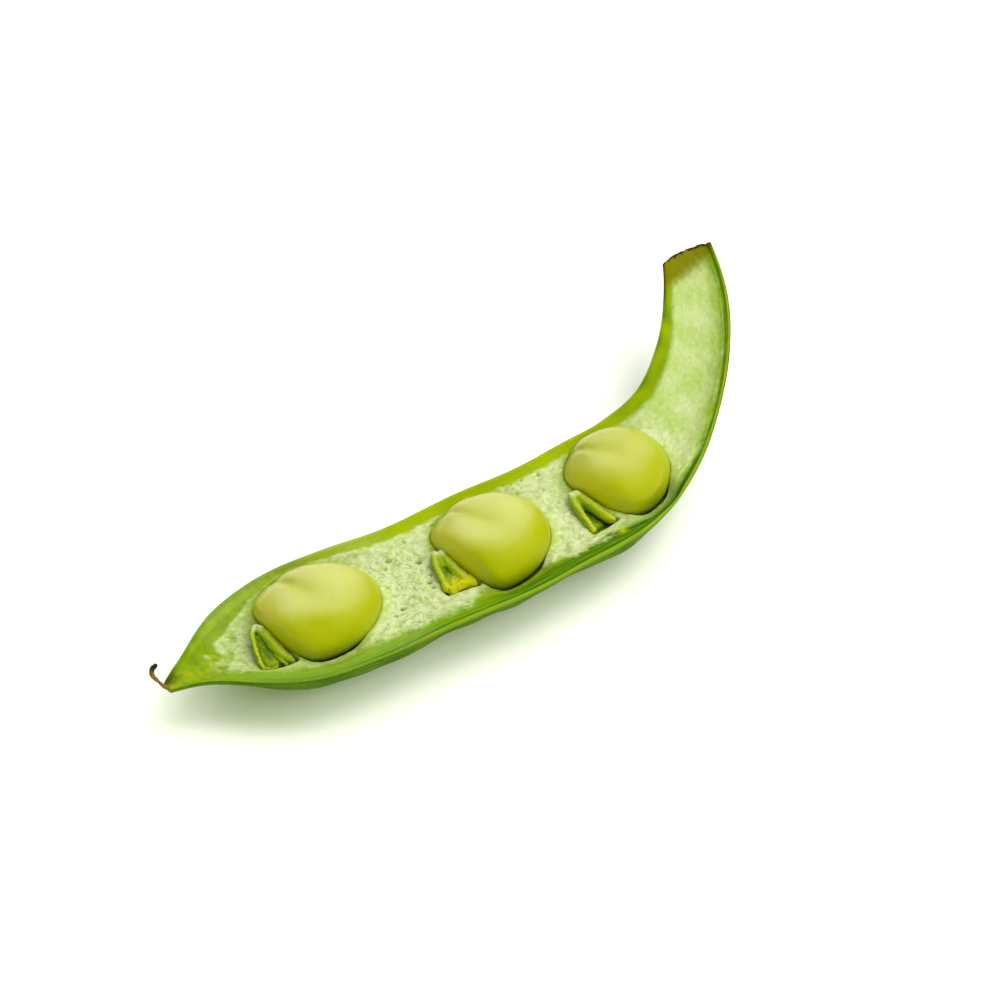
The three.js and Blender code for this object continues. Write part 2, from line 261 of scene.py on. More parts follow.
@dataclass(frozen=True)
class Ripple:
    """A seeded, smooth random field with one typical wavelength, from -1 to 1 or so."""

    wavelength: float
    seed: int
    waves: int = 14

    def at(self, *axes: np.ndarray) -> np.ndarray:
        """Samples the field.

        Args:
            axes: Two or three coordinates of each place, in millimetres.

        Returns:
            One value for each place.
        """
        points = np.stack(axes, axis=1)
        random = np.random.default_rng(self.seed)
        heading = unit(random.normal(size=(self.waves, points.shape[1])))
        stretch = random.uniform(0.7, 1.45, self.waves)
        phase = random.uniform(0, 2 * math.pi, self.waves)
        turns = points @ (heading * stretch[:, None]).T * (2 * math.pi / self.wavelength)
        return np.sin(turns + phase).sum(axis=1) / math.sqrt(self.waves / 2) / 1.6


@dataclass(frozen=True)
class Spot:
    """A small soft spot on the open side of the pod: its place and its half sizes."""

    s: float
    u: float
    along: float
    across: float

    def at(self, s: np.ndarray, u: np.ndarray) -> np.ndarray:
        """Finds how strongly the spot is felt, from 1 in its middle to 0 away from it."""
        return np.exp(-(((s - self.s) / self.along) ** 2) - ((u - self.u) / self.across) ** 2)


def linked(name: str, data: bpy.types.ID) -> bpy.types.Object:
    """Puts an object at the scene's origin.

    Args:
        name: The object's name.
        data: Its mesh, light or camera.

    Returns:
        The object.
    """
    thing = bpy.data.objects.new(name, data)
    bpy.context.scene.collection.objects.link(thing)
    return thing


def new_piece(name: str, points: np.ndarray, faces: Faces) -> bpy.types.Object:
    """Makes a smooth-shaded mesh object at the origin, with its faces turned outwards.

    Args:
        name: The piece's name.
        points: Corner places in millimetres.
        faces: Corner numbers of each face.

    Returns:
        The linked object.
    """
    mesh = bpy.data.meshes.new(name)
    mesh.from_pydata((points * MM).tolist(), [], faces)
    shape = bmesh.new()
    shape.from_mesh(mesh)
    bmesh.ops.triangulate(shape, faces=[face for face in shape.faces if len(face.verts) > 4])
    bmesh.ops.recalc_face_normals(shape, faces=shape.faces)
    shape.to_mesh(mesh)
    shape.free()
    mesh.shade_smooth()
    return linked(name, mesh)


def paint(piece: bpy.types.Object, masks: dict[str, np.ndarray]) -> None:
    """Stores masks on a piece's corners for its material to read.

    Args:
        piece: The piece.
        masks: A value for each corner, by the attribute's name.
    """
    for name, values in masks.items():
        layer = piece.data.attributes.new(name, "FLOAT", "POINT")
        layer.data.foreach_set("value", np.asarray(values, dtype=np.float32))


def dress(piece: bpy.types.Object, material: bpy.types.Material, replaces: str = "") -> None:
    """Gives a piece its material and its place in the frame.

    Args:
        piece: The piece.
        material: Its material.
        replaces: The node that it stands for, if any.
    """
    piece.data.materials.clear()
    piece.data.materials.append(material)
    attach(piece, BODY)
    if replaces:
        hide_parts(replaces)
    LOG.info("%s: %d faces", piece.name, len(piece.data.polygons))


def tube_faces(rings: int, sides: int) -> Faces:
    """Lists the faces of a closed tube with flat ends.

    Args:
        rings: Rings of corners.
        sides: Corners in a ring.

    Returns:
        Corner numbers of each face.
    """
    faces: Faces = []
    for first in range(0, (rings - 1) * sides, sides):
        for k in range(sides):
            here, side = first + k, first + (k + 1) % sides
            faces.append((here, side, side + sides, here + sides))
    last = (rings - 1) * sides
    return faces + [tuple(range(sides))[::-1], tuple(range(last, last + sides))]


def tube(line: np.ndarray, toward: Any, widths: np.ndarray, heights: np.ndarray, sides: int) -> np.ndarray:
    """Lays oval rings round a line.

    Args:
        line: The middles of the rings.
        toward: The direction that the rings' tops lean to, one for all or one for each.
        widths: Half widths of the rings.
        heights: Their half heights.
        sides: Corners in a ring.

    Returns:
        Corners by ring and side.
    """
    ahead = unit(np.gradient(line, axis=0))
    side = unit(np.cross(toward, ahead))
    top = np.cross(ahead, side)
    turn = np.arange(sides) * 2 * math.pi / sides
    out = side[:, None] * (widths[:, None] * np.cos(turn))[:, :, None]
    out += top[:, None] * (heights[:, None] * np.sin(turn))[:, :, None]
    return line[:, None] + out


def rounding(rings: int, reach: float, least: float) -> np.ndarray:
    """Finds how a tube's rings shrink at its rounded ends.

    Args:
        rings: How many rings it has.
        reach: Share of its length that each end takes.
        least: Square of the end ring's share.

    Returns:
        Each ring's share of its full size.
    """
    share = np.linspace(0, 1, rings)
    inward = np.clip(1 - np.minimum(share, 1 - share) / reach, 0, 1)
    return np.sqrt(np.clip(1 - inward**2, least, 1))


@dataclass(frozen=True)
class Station:
    """The pod's section at one place along its spine, in millimetres and degrees."""

    s: float
    heading: float
    rim: float
    front: float
    back: float
    depth: float
    pinch: float
    hollow: float


@dataclass
class PodCourse:
    """The pod's own coordinates and the size of its section along the spine."""

    beak_x: float = -59.67
    beak_y: float = 9.23
    step: float = 0.5
    stations: tuple[Station, ...] = (
        Station(0, 6, 9.0, 0.9, 0.9, 1.6, 1.0, 0.2),
        Station(5, -4, 9.2, 3.4, 3.2, 3.2, 1.1, 1.6),
        Station(12, -16, 9.8, 7.6, 7.9, 6.0, 1.2, 3.4),
        Station(21, -19, 10.2, 11.2, 11.0, 10.3, 1.3, 3.2),
        Station(31, -16, 10.4, 11.8, 11.6, 11.0, 1.4, 2.5),
        Station(43, -13, 10.4, 11.2, 11.0, 8.2, 1.7, 2.4),
        Station(56, -12, 10.4, 11.6, 11.7, 11.1, 1.7, 2.4),
        Station(67, -9, 10.4, 11.1, 11.3, 8.4, 1.7, 2.4),
        Station(79, -1, 10.4, 11.0, 11.1, 10.9, 1.5, 2.3),
        Station(89, 12, 10.8, 8.9, 9.3, 8.2, 1.4, 2.2),
        Station(99, 25, 12.2, 7.0, 6.9, 6.0, 1.3, 2.1),
        Station(109, 36, 14.6, 6.0, 6.0, 5.0, 1.2, 2.0),
        Station(119, 49, 17.4, 5.2, 5.4, 4.4, 1.2, 1.8),
        Station(127, 61, 20.0, 4.1, 4.7, 4.0, 1.2, 1.5),
    )
    track: np.ndarray = field(init=False)

    def __post_init__(self) -> None:
        """Walks the spine over the ground from the beak."""
        count = round(self.length / self.step)
        middles = (np.arange(count) + 0.5) * self.step
        steps = self.direction(middles)[:, :2] * self.step
        self.track = np.vstack([[0.0, 0.0], np.cumsum(steps, axis=0)]) + (self.beak_x, self.beak_y)

    @property
    def length(self) -> float:
        """The spine's length."""
        return self.stations[-1].s

    def value(self, name: str, s: np.ndarray) -> np.ndarray:
        """Reads one station column on a smooth curve through the stations.

        Args:
            name: The column, such as "rim".
            s: Places along the spine.

        Returns:
            One value for each place.
        """
        x, y = (
            np.array([getattr(station, key) for station in self.stations], dtype=float)
            for key in ("s", name)
        )
        run, rise = np.pad(x, 1, mode="edge"), np.pad(y, 1, mode="edge")
        slope = (rise[2:] - rise[:-2]) / (run[2:] - run[:-2])
        i = np.clip(np.searchsorted(x, s, side="right") - 1, 0, len(x) - 2)
        span = x[i + 1] - x[i]
        return cubic((s - x[i]) / span, y[i], y[i + 1], span * slope[i], span * slope[i + 1])

    def direction(self, s: np.ndarray) -> np.ndarray:
        """Finds the spine's direction.

        Args:
            s: Places along the spine.

        Returns:
            A unit direction for each place.
        """
        heading = np.radians(self.value("heading", s))
        ahead = np.minimum(s + self.step / 2, self.length)
        behind = np.maximum(s - self.step / 2, 0)
        climb = (self.value("rim", ahead) - self.value("rim", behind)) / (ahead - behind)
        level = np.sqrt(1 - climb**2)
        return np.stack([np.cos(heading) * level, np.sin(heading) * level, climb], axis=1)

    def axes(self, s: np.ndarray) -> tuple[np.ndarray, np.ndarray, np.ndarray, np.ndarray]:
        """Finds the pod's own frame along its spine.

        Args:
            s: Places along the spine.

        Returns:
            Points on the spine, and the directions along, across and up at each.
        """
        step = np.arange(len(self.track)) * self.step
        x = np.interp(s, step, self.track[:, 0])
        y = np.interp(s, step, self.track[:, 1])
        along = self.direction(s)
        across = unit(np.stack([-along[:, 1], along[:, 0], np.zeros(len(s))], axis=1))
        return np.stack([x, y, self.value("rim", s)], axis=1), along, across, np.cross(along, across)

    def place(self, s: Any, u: Any, n: Any) -> np.ndarray:
        """Turns pod coordinates into places.

        Args:
            s: Along the spine.
            u: Across to the back rim.
            n: Upwards from the rims.

        Returns:
            Places in millimetres, one row each.
        """
        s, u, n = (np.ravel(values).astype(float) for values in np.broadcast_arrays(s, u, n))
        point, _, across, up = self.axes(s)
        return point + across * u[:, None] + up * n[:, None]


@dataclass(frozen=True)
class Strand:
    """A soft strand of flesh with an oval section, whose line runs along its top."""

    line: tuple[Point, ...]
    widths: tuple[float, ...]
    heights: tuple[float, ...]
    rings: int = 40
    sides: int = 16

    def shell(self, course: PodCourse) -> Shell:
        """Builds the strand's own closed shell.

        Args:
            course: The pod's coordinates, which the line is given in.

        Returns:
            The corners in millimetres and the faces.
        """
        s, u, n, width, height = curve(np.column_stack([self.line, self.widths, self.heights]), self.rings).T
        ends = rounding(self.rings, reach=0.1, least=0.04)
        middle, up = course.place(s, u, n - height), course.axes(s)[3]
        points = tube(middle, up, width * ends, height * ends, self.sides)
        return points.reshape(-1, 3), tube_faces(self.rings, self.sides)


def fused(shells: list[Shell], voxel: float, softening: int) -> Shell:
    """Fuses overlapping closed shells into one soft body.

    Args:
        shells: Corners in millimetres and faces of each shell.
        voxel: Fineness in millimetres.
        softening: Rounds of smoothing.

    Returns:
        The body's corners in millimetres and its faces.
    """
    points: list[list[float]] = []
    faces: Faces = []
    for shell_points, shell_faces in shells:
        faces += [tuple(corner + len(points) for corner in face) for face in shell_faces]
        points += shell_points.tolist()
    mesh = bpy.data.meshes.new("fusing")
    mesh.from_pydata(points, [], faces)
    body = linked("fusing", mesh)
    body.modifiers.new("fuse", "REMESH").voxel_size = voxel
    soften = body.modifiers.new("soften", "SMOOTH")
    soften.factor = 0.5
    soften.iterations = softening
    ready = body.evaluated_get(bpy.context.evaluated_depsgraph_get())
    result = bpy.data.meshes.new_from_object(ready)
    corners = np.array([vertex.co[:] for vertex in result.vertices])
    polygons = [tuple(polygon.vertices) for polygon in result.polygons]
    body.modifiers.clear()
    bpy.data.objects.remove(body)
    bpy.data.meshes.remove(mesh)
    bpy.data.meshes.remove(result)
    return corners, polygons


@dataclass(frozen=True)
class BeanSeat:
    """Where one bean sits, its half sizes, its crease, and the flat side that faces its stalk.

    near_gap and near_until say how wide the wall stands off the bean's front, and how far along.
    paleness and shade are the strengths of the painted sheen on the bean's top and of the painted shade on
    its front.
    """

    s: float
    u: float
    n: float
    along: float
    across: float
    up: float
    hilum: float
    hilum_at: float
    crease_from: float
    crease_to: float
    near_gap: float
    seed: int
    near_until: float
    paleness: float = 1.0
    shade: float = 0.75
    crease_depth: float = 0.07
    crease_width: float = 0.24
    lobe_swell: float = 0.065
    lobe_at: float = -0.52
    lobe_spread: float = 0.13
    hilum_rounding: float = 3.0
    swells: float = 0.1
    dimples: float = 0.02

    def axes(self, course: PodCourse) -> tuple[np.ndarray, np.ndarray]:
        """Finds the bean's middle, and its directions along, across and up, one row each."""
        _, *directions = course.axes(np.array([self.s]))
        return course.place(self.s, self.u, self.n), np.concatenate(directions)

    def local(self, course: PodCourse, points: np.ndarray) -> np.ndarray:
        """Turns places into the bean's own frame: along, across and up from its middle."""
        middle, directions = self.axes(course)
        return (points - middle) @ directions.T

    def world(self, course: PodCourse, points: np.ndarray) -> np.ndarray:
        """Turns points of the bean's own frame into places."""
        middle, directions = self.axes(course)
        return middle + points @ directions

    def crease(self, direction: np.ndarray) -> np.ndarray:
        """Finds how strongly the valley between the bean's two lobes is felt.

        Args:
            direction: Unit directions from the bean's middle.

        Returns:
            1 in the deepest part of the valley and 0 away from it.
        """
        start, heading = math.radians(self.crease_from), math.radians(self.crease_to)
        along = direction[:, 0] - math.cos(start)
        across = direction[:, 1] - math.sin(start)
        down = along * math.cos(heading) + across * math.sin(heading)
        off = across * math.cos(heading) - along * math.sin(heading)
        wide = self.crease_width * (0.36 + 0.4 * smooth(down, 0.1, 1.0))
        felt = smooth(down, 1.45, 0.8) * (0.35 + 0.65 * smooth(down, 0.0, 0.45))
        return felt * bump(off, 0, wide) * smooth(direction[:, 2], -0.15, 0.4)

    def surface(self, direction: np.ndarray) -> np.ndarray:
        """Finds the bean's surface in its own frame.

        Args:
            direction: Unit directions from the bean's middle.

        Returns:
            One point for each direction.
        """
        size = np.array([self.along, self.across, self.up])
        from_lobe = (direction[:, 0] - self.lobe_at) ** 2 + direction[:, 1] ** 2
        lobe = np.exp(-from_lobe / self.lobe_spread) * (direction[:, 2] > 0)
        scale = 1 - self.crease_depth * self.crease(direction) + self.lobe_swell * lobe * direction[:, 2]
        points = direction * size * scale[:, None]
        swell = Ripple(8.0, self.seed).at(*points.T) * self.swells
        swell += Ripple(2.6, self.seed + 1).at(*points.T) * self.dimples
        points += direction * swell[:, None]
        hilum = math.radians(self.hilum)
        facing = np.array([math.cos(hilum), math.sin(hilum), 0.0])
        past = np.maximum(points @ facing - self.hilum_at + self.hilum_rounding, 0)
        pushed = past - self.hilum_rounding * (1 - np.exp(-past / self.hilum_rounding))
        return points - pushed[:, None] * facing

    def outline(self, corners: int = 90) -> np.ndarray:
        """Finds the bean's outline seen from above, in its own frame."""
        turn = np.arange(corners) * 2 * math.pi / corners
        return self.surface(np.stack([np.cos(turn), np.sin(turn), np.zeros(corners)], axis=1))[:, :2]


BEAN_SEATS = (
    BeanSeat(26.0, 1.8, -1.6, 10.5, 8.4, 5.4, 202, 8.3, 117, -64, 0.4, 10, 0.25),
    BeanSeat(56.6, 1.4, -1.6, 10.1, 8.7, 5.7, 200, 7.5, 115, -64, 0.5, 20, 0.4, paleness=0.9, shade=0.6),
    BeanSeat(82.0, 1.15, -1.5, 8.8, 8.55, 6.15, 193, 7.7, 116, -64, 0.38, 30, 0.3, paleness=0.45, shade=1.0),
)


@dataclass(frozen=True)
class StalkPlan:
    """One seed stalk: the straps that its V is made of, outer and inner leg first.

    yellow is the strength of its yellow feet, and pit_floor the depth of the pit round it. The
    valley is the line of deep green between its legs.
    """

    straps: tuple[Strand, ...]
    yellow: float
    pit_floor: float
    valley: tuple[Point, Point]
    valley_width: float

    def corners(self) -> np.ndarray:
        """Finds s and u of the tip, the inner foot and the outer foot."""
        outer, inner = self.straps[0].line, self.straps[1].line
        return np.array([inner[0][:2], inner[-1][:2], outer[-1][:2]])


STALK_PLANS = (
    StalkPlan(
        (
            Strand(
                (
                    (16.2, 2.9, -0.3), (15.3, 1.3, -0.7), (15.0, -0.6, -1.1),
                    (14.8, -2.9, -1.4), (14.9, -5.1, -1.6),
                ),
                (0.45, 0.45, 0.4, 0.38, 0.4), (0.6, 0.7, 0.9, 0.9, 0.8),
            ),
            Strand(
                (
                    (16.4, 2.9, -0.3), (17.2, 0.9, -0.5), (18.0, -1.8, -1.0),
                    (18.9, -3.7, -1.7), (20.0, -4.9, -2.4),
                ),
                (0.55, 0.9, 1.0, 0.85, 0.4), (0.6, 0.7, 0.8, 0.8, 0.6),
            ),
            Strand(
                ((16.2, 1.6, -0.9), (16.4, 0.0, -1.5), (16.7, -2.4, -2.1), (17.0, -4.6, -2.3)),
                (0.5, 0.9, 1.4, 1.8), (0.7, 0.8, 0.8, 0.8),
            ),
            Strand(
                ((15.0, -5.0, -1.6), (16.2, -5.2, -1.7), (17.3, -4.9, -2.0)),
                (0.3, 0.22, 0.2), (0.4, 0.4, 0.4),
            ),
            Strand(
                ((17.2, -2.7, -1.8), (18.0, -4.3, -1.9), (18.7, -5.5, -1.8)),
                (0.28, 0.25, 0.2), (0.4, 0.4, 0.4),
            ),
        ),
        0.0, 3.6, ((16.2, 0.6, -1.4), (16.5, -3.2, -2.0)), 0.75,
    ),
    StalkPlan(
        (
            Strand(
                (
                    (47.9, 3.3, 0.0), (46.9, 2.0, -0.2), (46.5, 0.3, -0.5),
                    (46.3, -1.7, -0.8), (46.2, -4.0, -1.1),
                ),
                (0.8, 0.7, 0.6, 0.6, 0.7), (0.7, 0.7, 0.8, 0.8, 0.8),
            ),
            Strand(
                (
                    (48.3, 3.3, 0.0), (48.7, 0.8, -0.2), (49.1, -1.6, -0.5),
                    (49.8, -3.3, -0.9), (50.9, -4.7, -1.4),
                ),
                (0.8, 0.95, 1.05, 1.05, 0.6), (0.8, 0.8, 0.9, 0.9, 0.8),
            ),
            Strand(
                ((48.0, 2.8, -0.1), (47.7, 1.4, -0.35), (47.6, 0.2, -0.9)),
                (0.9, 1.0, 0.9), (0.8, 0.8, 0.8),
            ),
            Strand(
                ((47.6, 0.4, -1.2), (47.6, -0.9, -1.35), (47.8, -2.3, -1.0), (47.8, -3.8, -0.95)),
                (0.9, 1.0, 1.3, 1.5), (0.7, 0.7, 0.8, 0.8),
            ),
            Strand(
                ((46.2, -4.3, -1.1), (47.5, -3.9, -0.8), (49.2, -3.9, -0.85), (50.6, -4.5, -1.3)),
                (0.75, 0.75, 0.75, 0.5), (0.9, 1.0, 1.0, 0.8),
            ),
        ),
        1.0, 3.0, ((47.5, -0.1, -1.0), (47.6, -1.4, -1.2)), 0.75,
    ),
    StalkPlan(
        (
            Strand(
                (
                    (73.1, 2.5, 0.0), (72.3, 0.8, -0.2), (71.9, -1.7, -0.5),
                    (71.8, -3.8, -0.9), (71.7, -5.9, -1.2),
                ),
                (0.75, 0.68, 0.6, 0.58, 0.55), (0.7, 0.8, 0.8, 0.8, 0.8),
            ),
            Strand(
                (
                    (73.3, 2.5, 0.0), (73.9, 0.25, -0.2), (74.5, -2.2, -0.5),
                    (75.0, -4.1, -0.9), (75.6, -5.7, -1.4),
                ),
                (0.8, 0.92, 0.98, 0.9, 0.65), (0.8, 0.9, 0.9, 0.9, 0.9),
            ),
            Strand(
                ((73.0, 2.0, -0.2), (73.0, 0.6, -0.6), (73.0, -0.9, -1.6)),
                (0.8, 0.9, 0.8), (0.8, 0.8, 0.8),
            ),
            Strand(
                ((73.2, -0.4, -2.1), (73.2, -2.4, -2.5), (73.2, -4.8, -2.5)),
                (0.9, 1.3, 1.6), (0.7, 0.7, 0.7),
            ),
        ),
        0.6, 3.4, ((73.0, -0.4, -1.8), (73.3, -5.0, -2.4)), 1.0,
    ),
)


@dataclass(frozen=True)
class PodWallFinish:
    """Fresh pod wall: waxy green skin outside, moist white wool inside that scatters light."""

    skin_dark: str = "#345005"
    skin_light: str = "#56730a"
    inner_dark: str = "#688415"
    inner_light: str = "#8a9915"
    front_rim: str = "#668a08"
    shaded_rim: str = "#3d6107"
    ridge: str = "#7f9424"
    groove: str = "#325905"
    # groove is painted shade: dark green along the front rim's fine grooves, the groove by the ledge and the
    # notch.
    hem: str = "#8e9f18"
    yellow: str = "#a5ae12"
    back_rim: str = "#8d9b05"
    lining_white: str = "#bcc196"
    lining_green: str = "#99ae51"
    # pit is painted shade: dark green over the bare wall in the bean pockets, the stalk pits and the lining's
    # holes.
    pit: str = "#537a0a"
    olive: str = "#6f6c00"
    torn: str = "#33240a"
    skin_roughness: float = 0.45
    lining_roughness: float = 0.75
    skin_gloss: float = 0.015
    lining_gloss: float = 0.35
    grains_per_mm: float = 1.4
    grain_contrast: float = 0.25
    strand_spacings: tuple[float, ...] = (1.5, 0.95)
    strand_shift: float = 0.05
    strand_width: float = 0.05
    layers: tuple[str, ...] = (
        "outside", "front_rim", "shaded_rim", "back_rim", "lining", "ridge", "groove", "hem", "yellow", "pit",
        "olive", "torn",
    )

    def material(self) -> bpy.types.Material:
        """Builds the pod wall's material, which reads the masks painted on the wall.

        Returns:
            The material.
        """
        coat = Coat("fresh_pod_wall", "wool", "green", "tone", *self.layers)
        tree, mask = coat.tree, coat.mask
        # Cells are far finer than this. The grain is drawn this coarse to show.
        fine = add(tree, "ShaderNodeTexNoise", {
            "Vector": coat.place, "Scale": self.grains_per_mm / MM, "Detail": 4.0, "Roughness": 0.6,
        })
        grain = add(tree, "ShaderNodeMapRange", {
            "Value": fine, "From Min": 0.3, "From Max": 0.7,
            "To Min": -self.grain_contrast, "To Max": self.grain_contrast,
        })
        tone, green = (
            add(tree, "ShaderNodeMath", {0: mask[name], 1: grain}, operation="ADD", use_clamp=True)
            for name in ("tone", "green")
        )
        strands = self.strands(coat)
        green = add(tree, "ShaderNodeMath", {0: green, 1: strands}, operation="SUBTRACT", use_clamp=True)
        inner = coat.layered(self.inner_dark, (tone, self.inner_light))
        mixed = {
            "outside": coat.layered(self.skin_dark, (tone, self.skin_light)),
            "lining": coat.layered(self.lining_white, (green, self.lining_green)),
        }
        layers = [(mask[name], mixed[name] if name in mixed else getattr(self, name)) for name in self.layers]
        rough, gloss = (
            add(tree, "ShaderNodeMapRange", {"Value": mask["lining"], "To Min": skin, "To Max": lining})
            for skin, lining in (
                (self.skin_roughness, self.lining_roughness), (self.skin_gloss, self.lining_gloss),
            )
        )
        height = add(tree, "ShaderNodeMath", {0: fine, 1: strands}, operation="ADD")
        return coat.finished({
            "Base Color": coat.layered(inner, *layers),
            "Roughness": rough,
            "Specular IOR Level": gloss,
            "Subsurface Weight": 0.3,
            "Subsurface Radius": (1.0, 1.2, 0.3),
            "Subsurface Scale": MM,
        }, {"Height": height, "Strength": 0.18, "Distance": 0.15 * MM})

    def strands(self, coat: Coat) -> Any:
        """Draws curly pale strands along the contour lines of two cloudy fields.

        Args:
            coat: The wall's material, with its mask for the thickness of the wool.

        Returns:
            A node with how much of a strand there is at each place.
        """
        tree = coat.tree
        shares = []
        for index, spacing in enumerate(self.strand_spacings):
            shift = (index * self.strand_shift,) * 3
            moved = add(tree, "ShaderNodeVectorMath", {0: coat.place, 1: shift}, operation="ADD")
            clouds = add(tree, "ShaderNodeTexNoise", {
                "Vector": moved, "Scale": 1 / (spacing * MM), "Detail": 1.0, "Distortion": 0.6,
            })
            off = add(tree, "ShaderNodeMath", {0: clouds, 1: 0.5}, operation="SUBTRACT")
            apart = add(tree, "ShaderNodeMath", {0: off}, operation="ABSOLUTE")
            shares.append(add(tree, "ShaderNodeMapRange", {
                "Value": apart, "From Min": 0.0, "From Max": self.strand_width, "To Min": 0.9, "To Max": 0.0,
            }))
        most = add(tree, "ShaderNodeMath", {0: shares[0], 1: shares[1]}, operation="MAXIMUM")
        return add(tree, "ShaderNodeMath", {0: most, 1: coat.mask["wool"]}, operation="MULTIPLY")


@dataclass(frozen=True)
class SeedCoatFinish:
    """Fresh seed coat: taut, waxy and a little see-through, with a painted sheen on its top and painted shade
    on its front and in its valley.
    """

    # pale is a painted sheen: the light's reflection on the beans' tops and small lobes.
    pale: str = "#b3b458"
    full: str = "#a0a300"
    # warm is the beans' own yellower end by the stalk, brightened further as painted light where that end
    # gets little light.
    warm: str = "#c9bf10"
    # crease is painted shade in the valley between the lobes, laid over the painted sheen.
    crease: str = "#a2a400"
    # low is painted shade on the beans' lower front, which faces away from the lights.
    low: str = "#646a08"
    roughness: float = 0.36
    clouds_per_mm: float = 0.26
    grains_per_mm: float = 1.6

    def material(self) -> bpy.types.Material:
        """Builds the beans' material.

        Returns:
            The material.
        """
        coat = Coat("waxy_seed_coat", "top", "warm", "crease", "low")
        tree, mask = coat.tree, coat.mask
        cloud = add(tree, "ShaderNodeTexNoise", {
            "Vector": coat.place, "Scale": self.clouds_per_mm / MM, "Detail": 4.0,
        })
        mottle = add(tree, "ShaderNodeMath", {0: cloud, 1: 0.6, 2: -0.36}, operation="MULTIPLY_ADD")
        # The painted sheen: the top mask, made patchy by the coat's own cloudy mottling.
        paleness = add(tree, "ShaderNodeMath", {0: mask["top"], 1: mottle}, operation="ADD", use_clamp=True)
        # The coat's own pores are too fine to show. The grain is drawn this coarse for a soft sheen.
        grain = add(tree, "ShaderNodeTexNoise", {
            "Vector": coat.place, "Scale": self.grains_per_mm / MM, "Detail": 3.0,
        })
        return coat.finished({
            "Base Color": coat.layered(
                self.full, (paleness, self.pale), (mask["warm"], self.warm), (mask["crease"], self.crease),
                (mask["low"], self.low),
            ),
            "Roughness": self.roughness,
            "IOR": 1.65,
            "Subsurface Weight": 0.6,
            "Subsurface Radius": (2.2, 2.2, 0.3),
            "Subsurface Scale": MM,
        }, {"Height": grain, "Strength": 0.2, "Distance": 0.08 * MM})


@dataclass(frozen=True)
class SeedStalkFinish:
    """Fleshy seed stalk: moist and soft, pale at its tip and yellower at its feet."""

    tip: str = "#bec28d"
    strap: str = "#83950a"
    # crest is a painted highlight along the tops of the two legs.
    crest: str = "#9da82d"
    foot: str = "#aea905"
    # deep is painted shade, in flecks, in the valley between the legs.
    deep: str = "#54760f"
    roughness: float = 0.5
    grains_per_mm: float = 1.1
    layers: tuple[str, ...] = ("deep", "crest", "foot", "tip")

    def material(self) -> bpy.types.Material:
        """Builds the seed stalks' material.

        Returns:
            The material.
        """
        coat = Coat("fleshy_seed_stalk", *self.layers)
        grain = add(coat.tree, "ShaderNodeTexNoise", {
            "Vector": coat.place, "Scale": self.grains_per_mm / MM, "Detail": 3.0,
        })
        layers = [(coat.mask[name], getattr(self, name)) for name in self.layers]
        return coat.finished({
            "Base Color": coat.layered(self.strap, *layers),
            "Roughness": self.roughness,
            "Specular IOR Level": 0.3,
            "Subsurface Weight": 0.7,
            "Subsurface Radius": (1.4, 1.4, 0.3),
            "Subsurface Scale": MM,
        }, {"Height": grain, "Strength": 0.4, "Distance": 0.15 * MM})


@dataclass(frozen=True)
class WoolFinish:
    """Moist white plant hair with a green cast in places."""

    white: str = "#c6cda4"
    green: str = "#b2c578"
    roughness: float = 0.6
    clouds_per_mm: float = 0.5

    def material(self) -> bpy.types.Material:
        """Builds the hairs' material.

        Returns:
            The material.
        """
        coat = Coat("white_lining_wool")
        cast = add(coat.tree, "ShaderNodeTexNoise", {
            "Vector": coat.place, "Scale": self.clouds_per_mm / MM, "Detail": 3.0,
        })
        share = add(coat.tree, "ShaderNodeMapRange", {"Value": cast, "From Min": 0.4, "From Max": 0.65})
        return coat.finished({
            "Base Color": coat.layered(self.white, (share, self.green)), "Roughness": self.roughness,
        })


@dataclass(frozen=True)
class DriedStyleFinish:
    """Dried plant tissue: dull, wrinkled along its length, darkest at its tip."""

    dry: str = "#7a5a22"
    dark: str = "#17110a"
    roughness: float = 0.75
    wrinkles_per_mm: float = 1.8

    def material(self) -> bpy.types.Material:
        """Builds the dried style's material.

        Returns:
            The material.
        """
        coat = Coat("dried_style_tissue", "tip")
        grain = add(coat.tree, "ShaderNodeTexNoise", {
            "Vector": coat.place, "Scale": self.wrinkles_per_mm / MM, "Detail": 4.0,
        })
        share = add(coat.tree, "ShaderNodeMath", {0: coat.mask["tip"], 1: grain}, operation="ADD")
        shade = add(coat.tree, "ShaderNodeMapRange", {"Value": share, "From Min": 0.35, "From Max": 1.2})
        return coat.finished({
            "Base Color": coat.layered(self.dry, (shade, self.dark)), "Roughness": self.roughness,
        }, {"Height": grain, "Strength": 0.6, "Distance": 0.1 * MM})


@dataclass(frozen=True)
class Relief:
    """Heights and depths of the fine forms on the open side, in millimetres."""

    ridge: float = 0.22
    line: float = 0.16
    streak: float = 0.05
    ledge: float = 0.25
    ledge_groove: float = 0.4
    back_bead: float = 0.1
    notch: float = 0.7
    flaw: float = 0.35
    crumb: float = 0.3
    lining: float = 0.3
    lumps: tuple[tuple[float, Ripple], ...] = (
        (0.12, Ripple(2.6, 31)), (0.05, Ripple(1.3, 32)), (0.03, Ripple(0.62, 33)),
    )
    hole: float = 0.5
    collar_at: float = 1.45
    collar_width: float = 1.3
    front_dip: float = 2.5
    pocket_gap: float = 0.35
    pocket_shallowest: float = 1.9
    pocket_open_front: float = 2.4


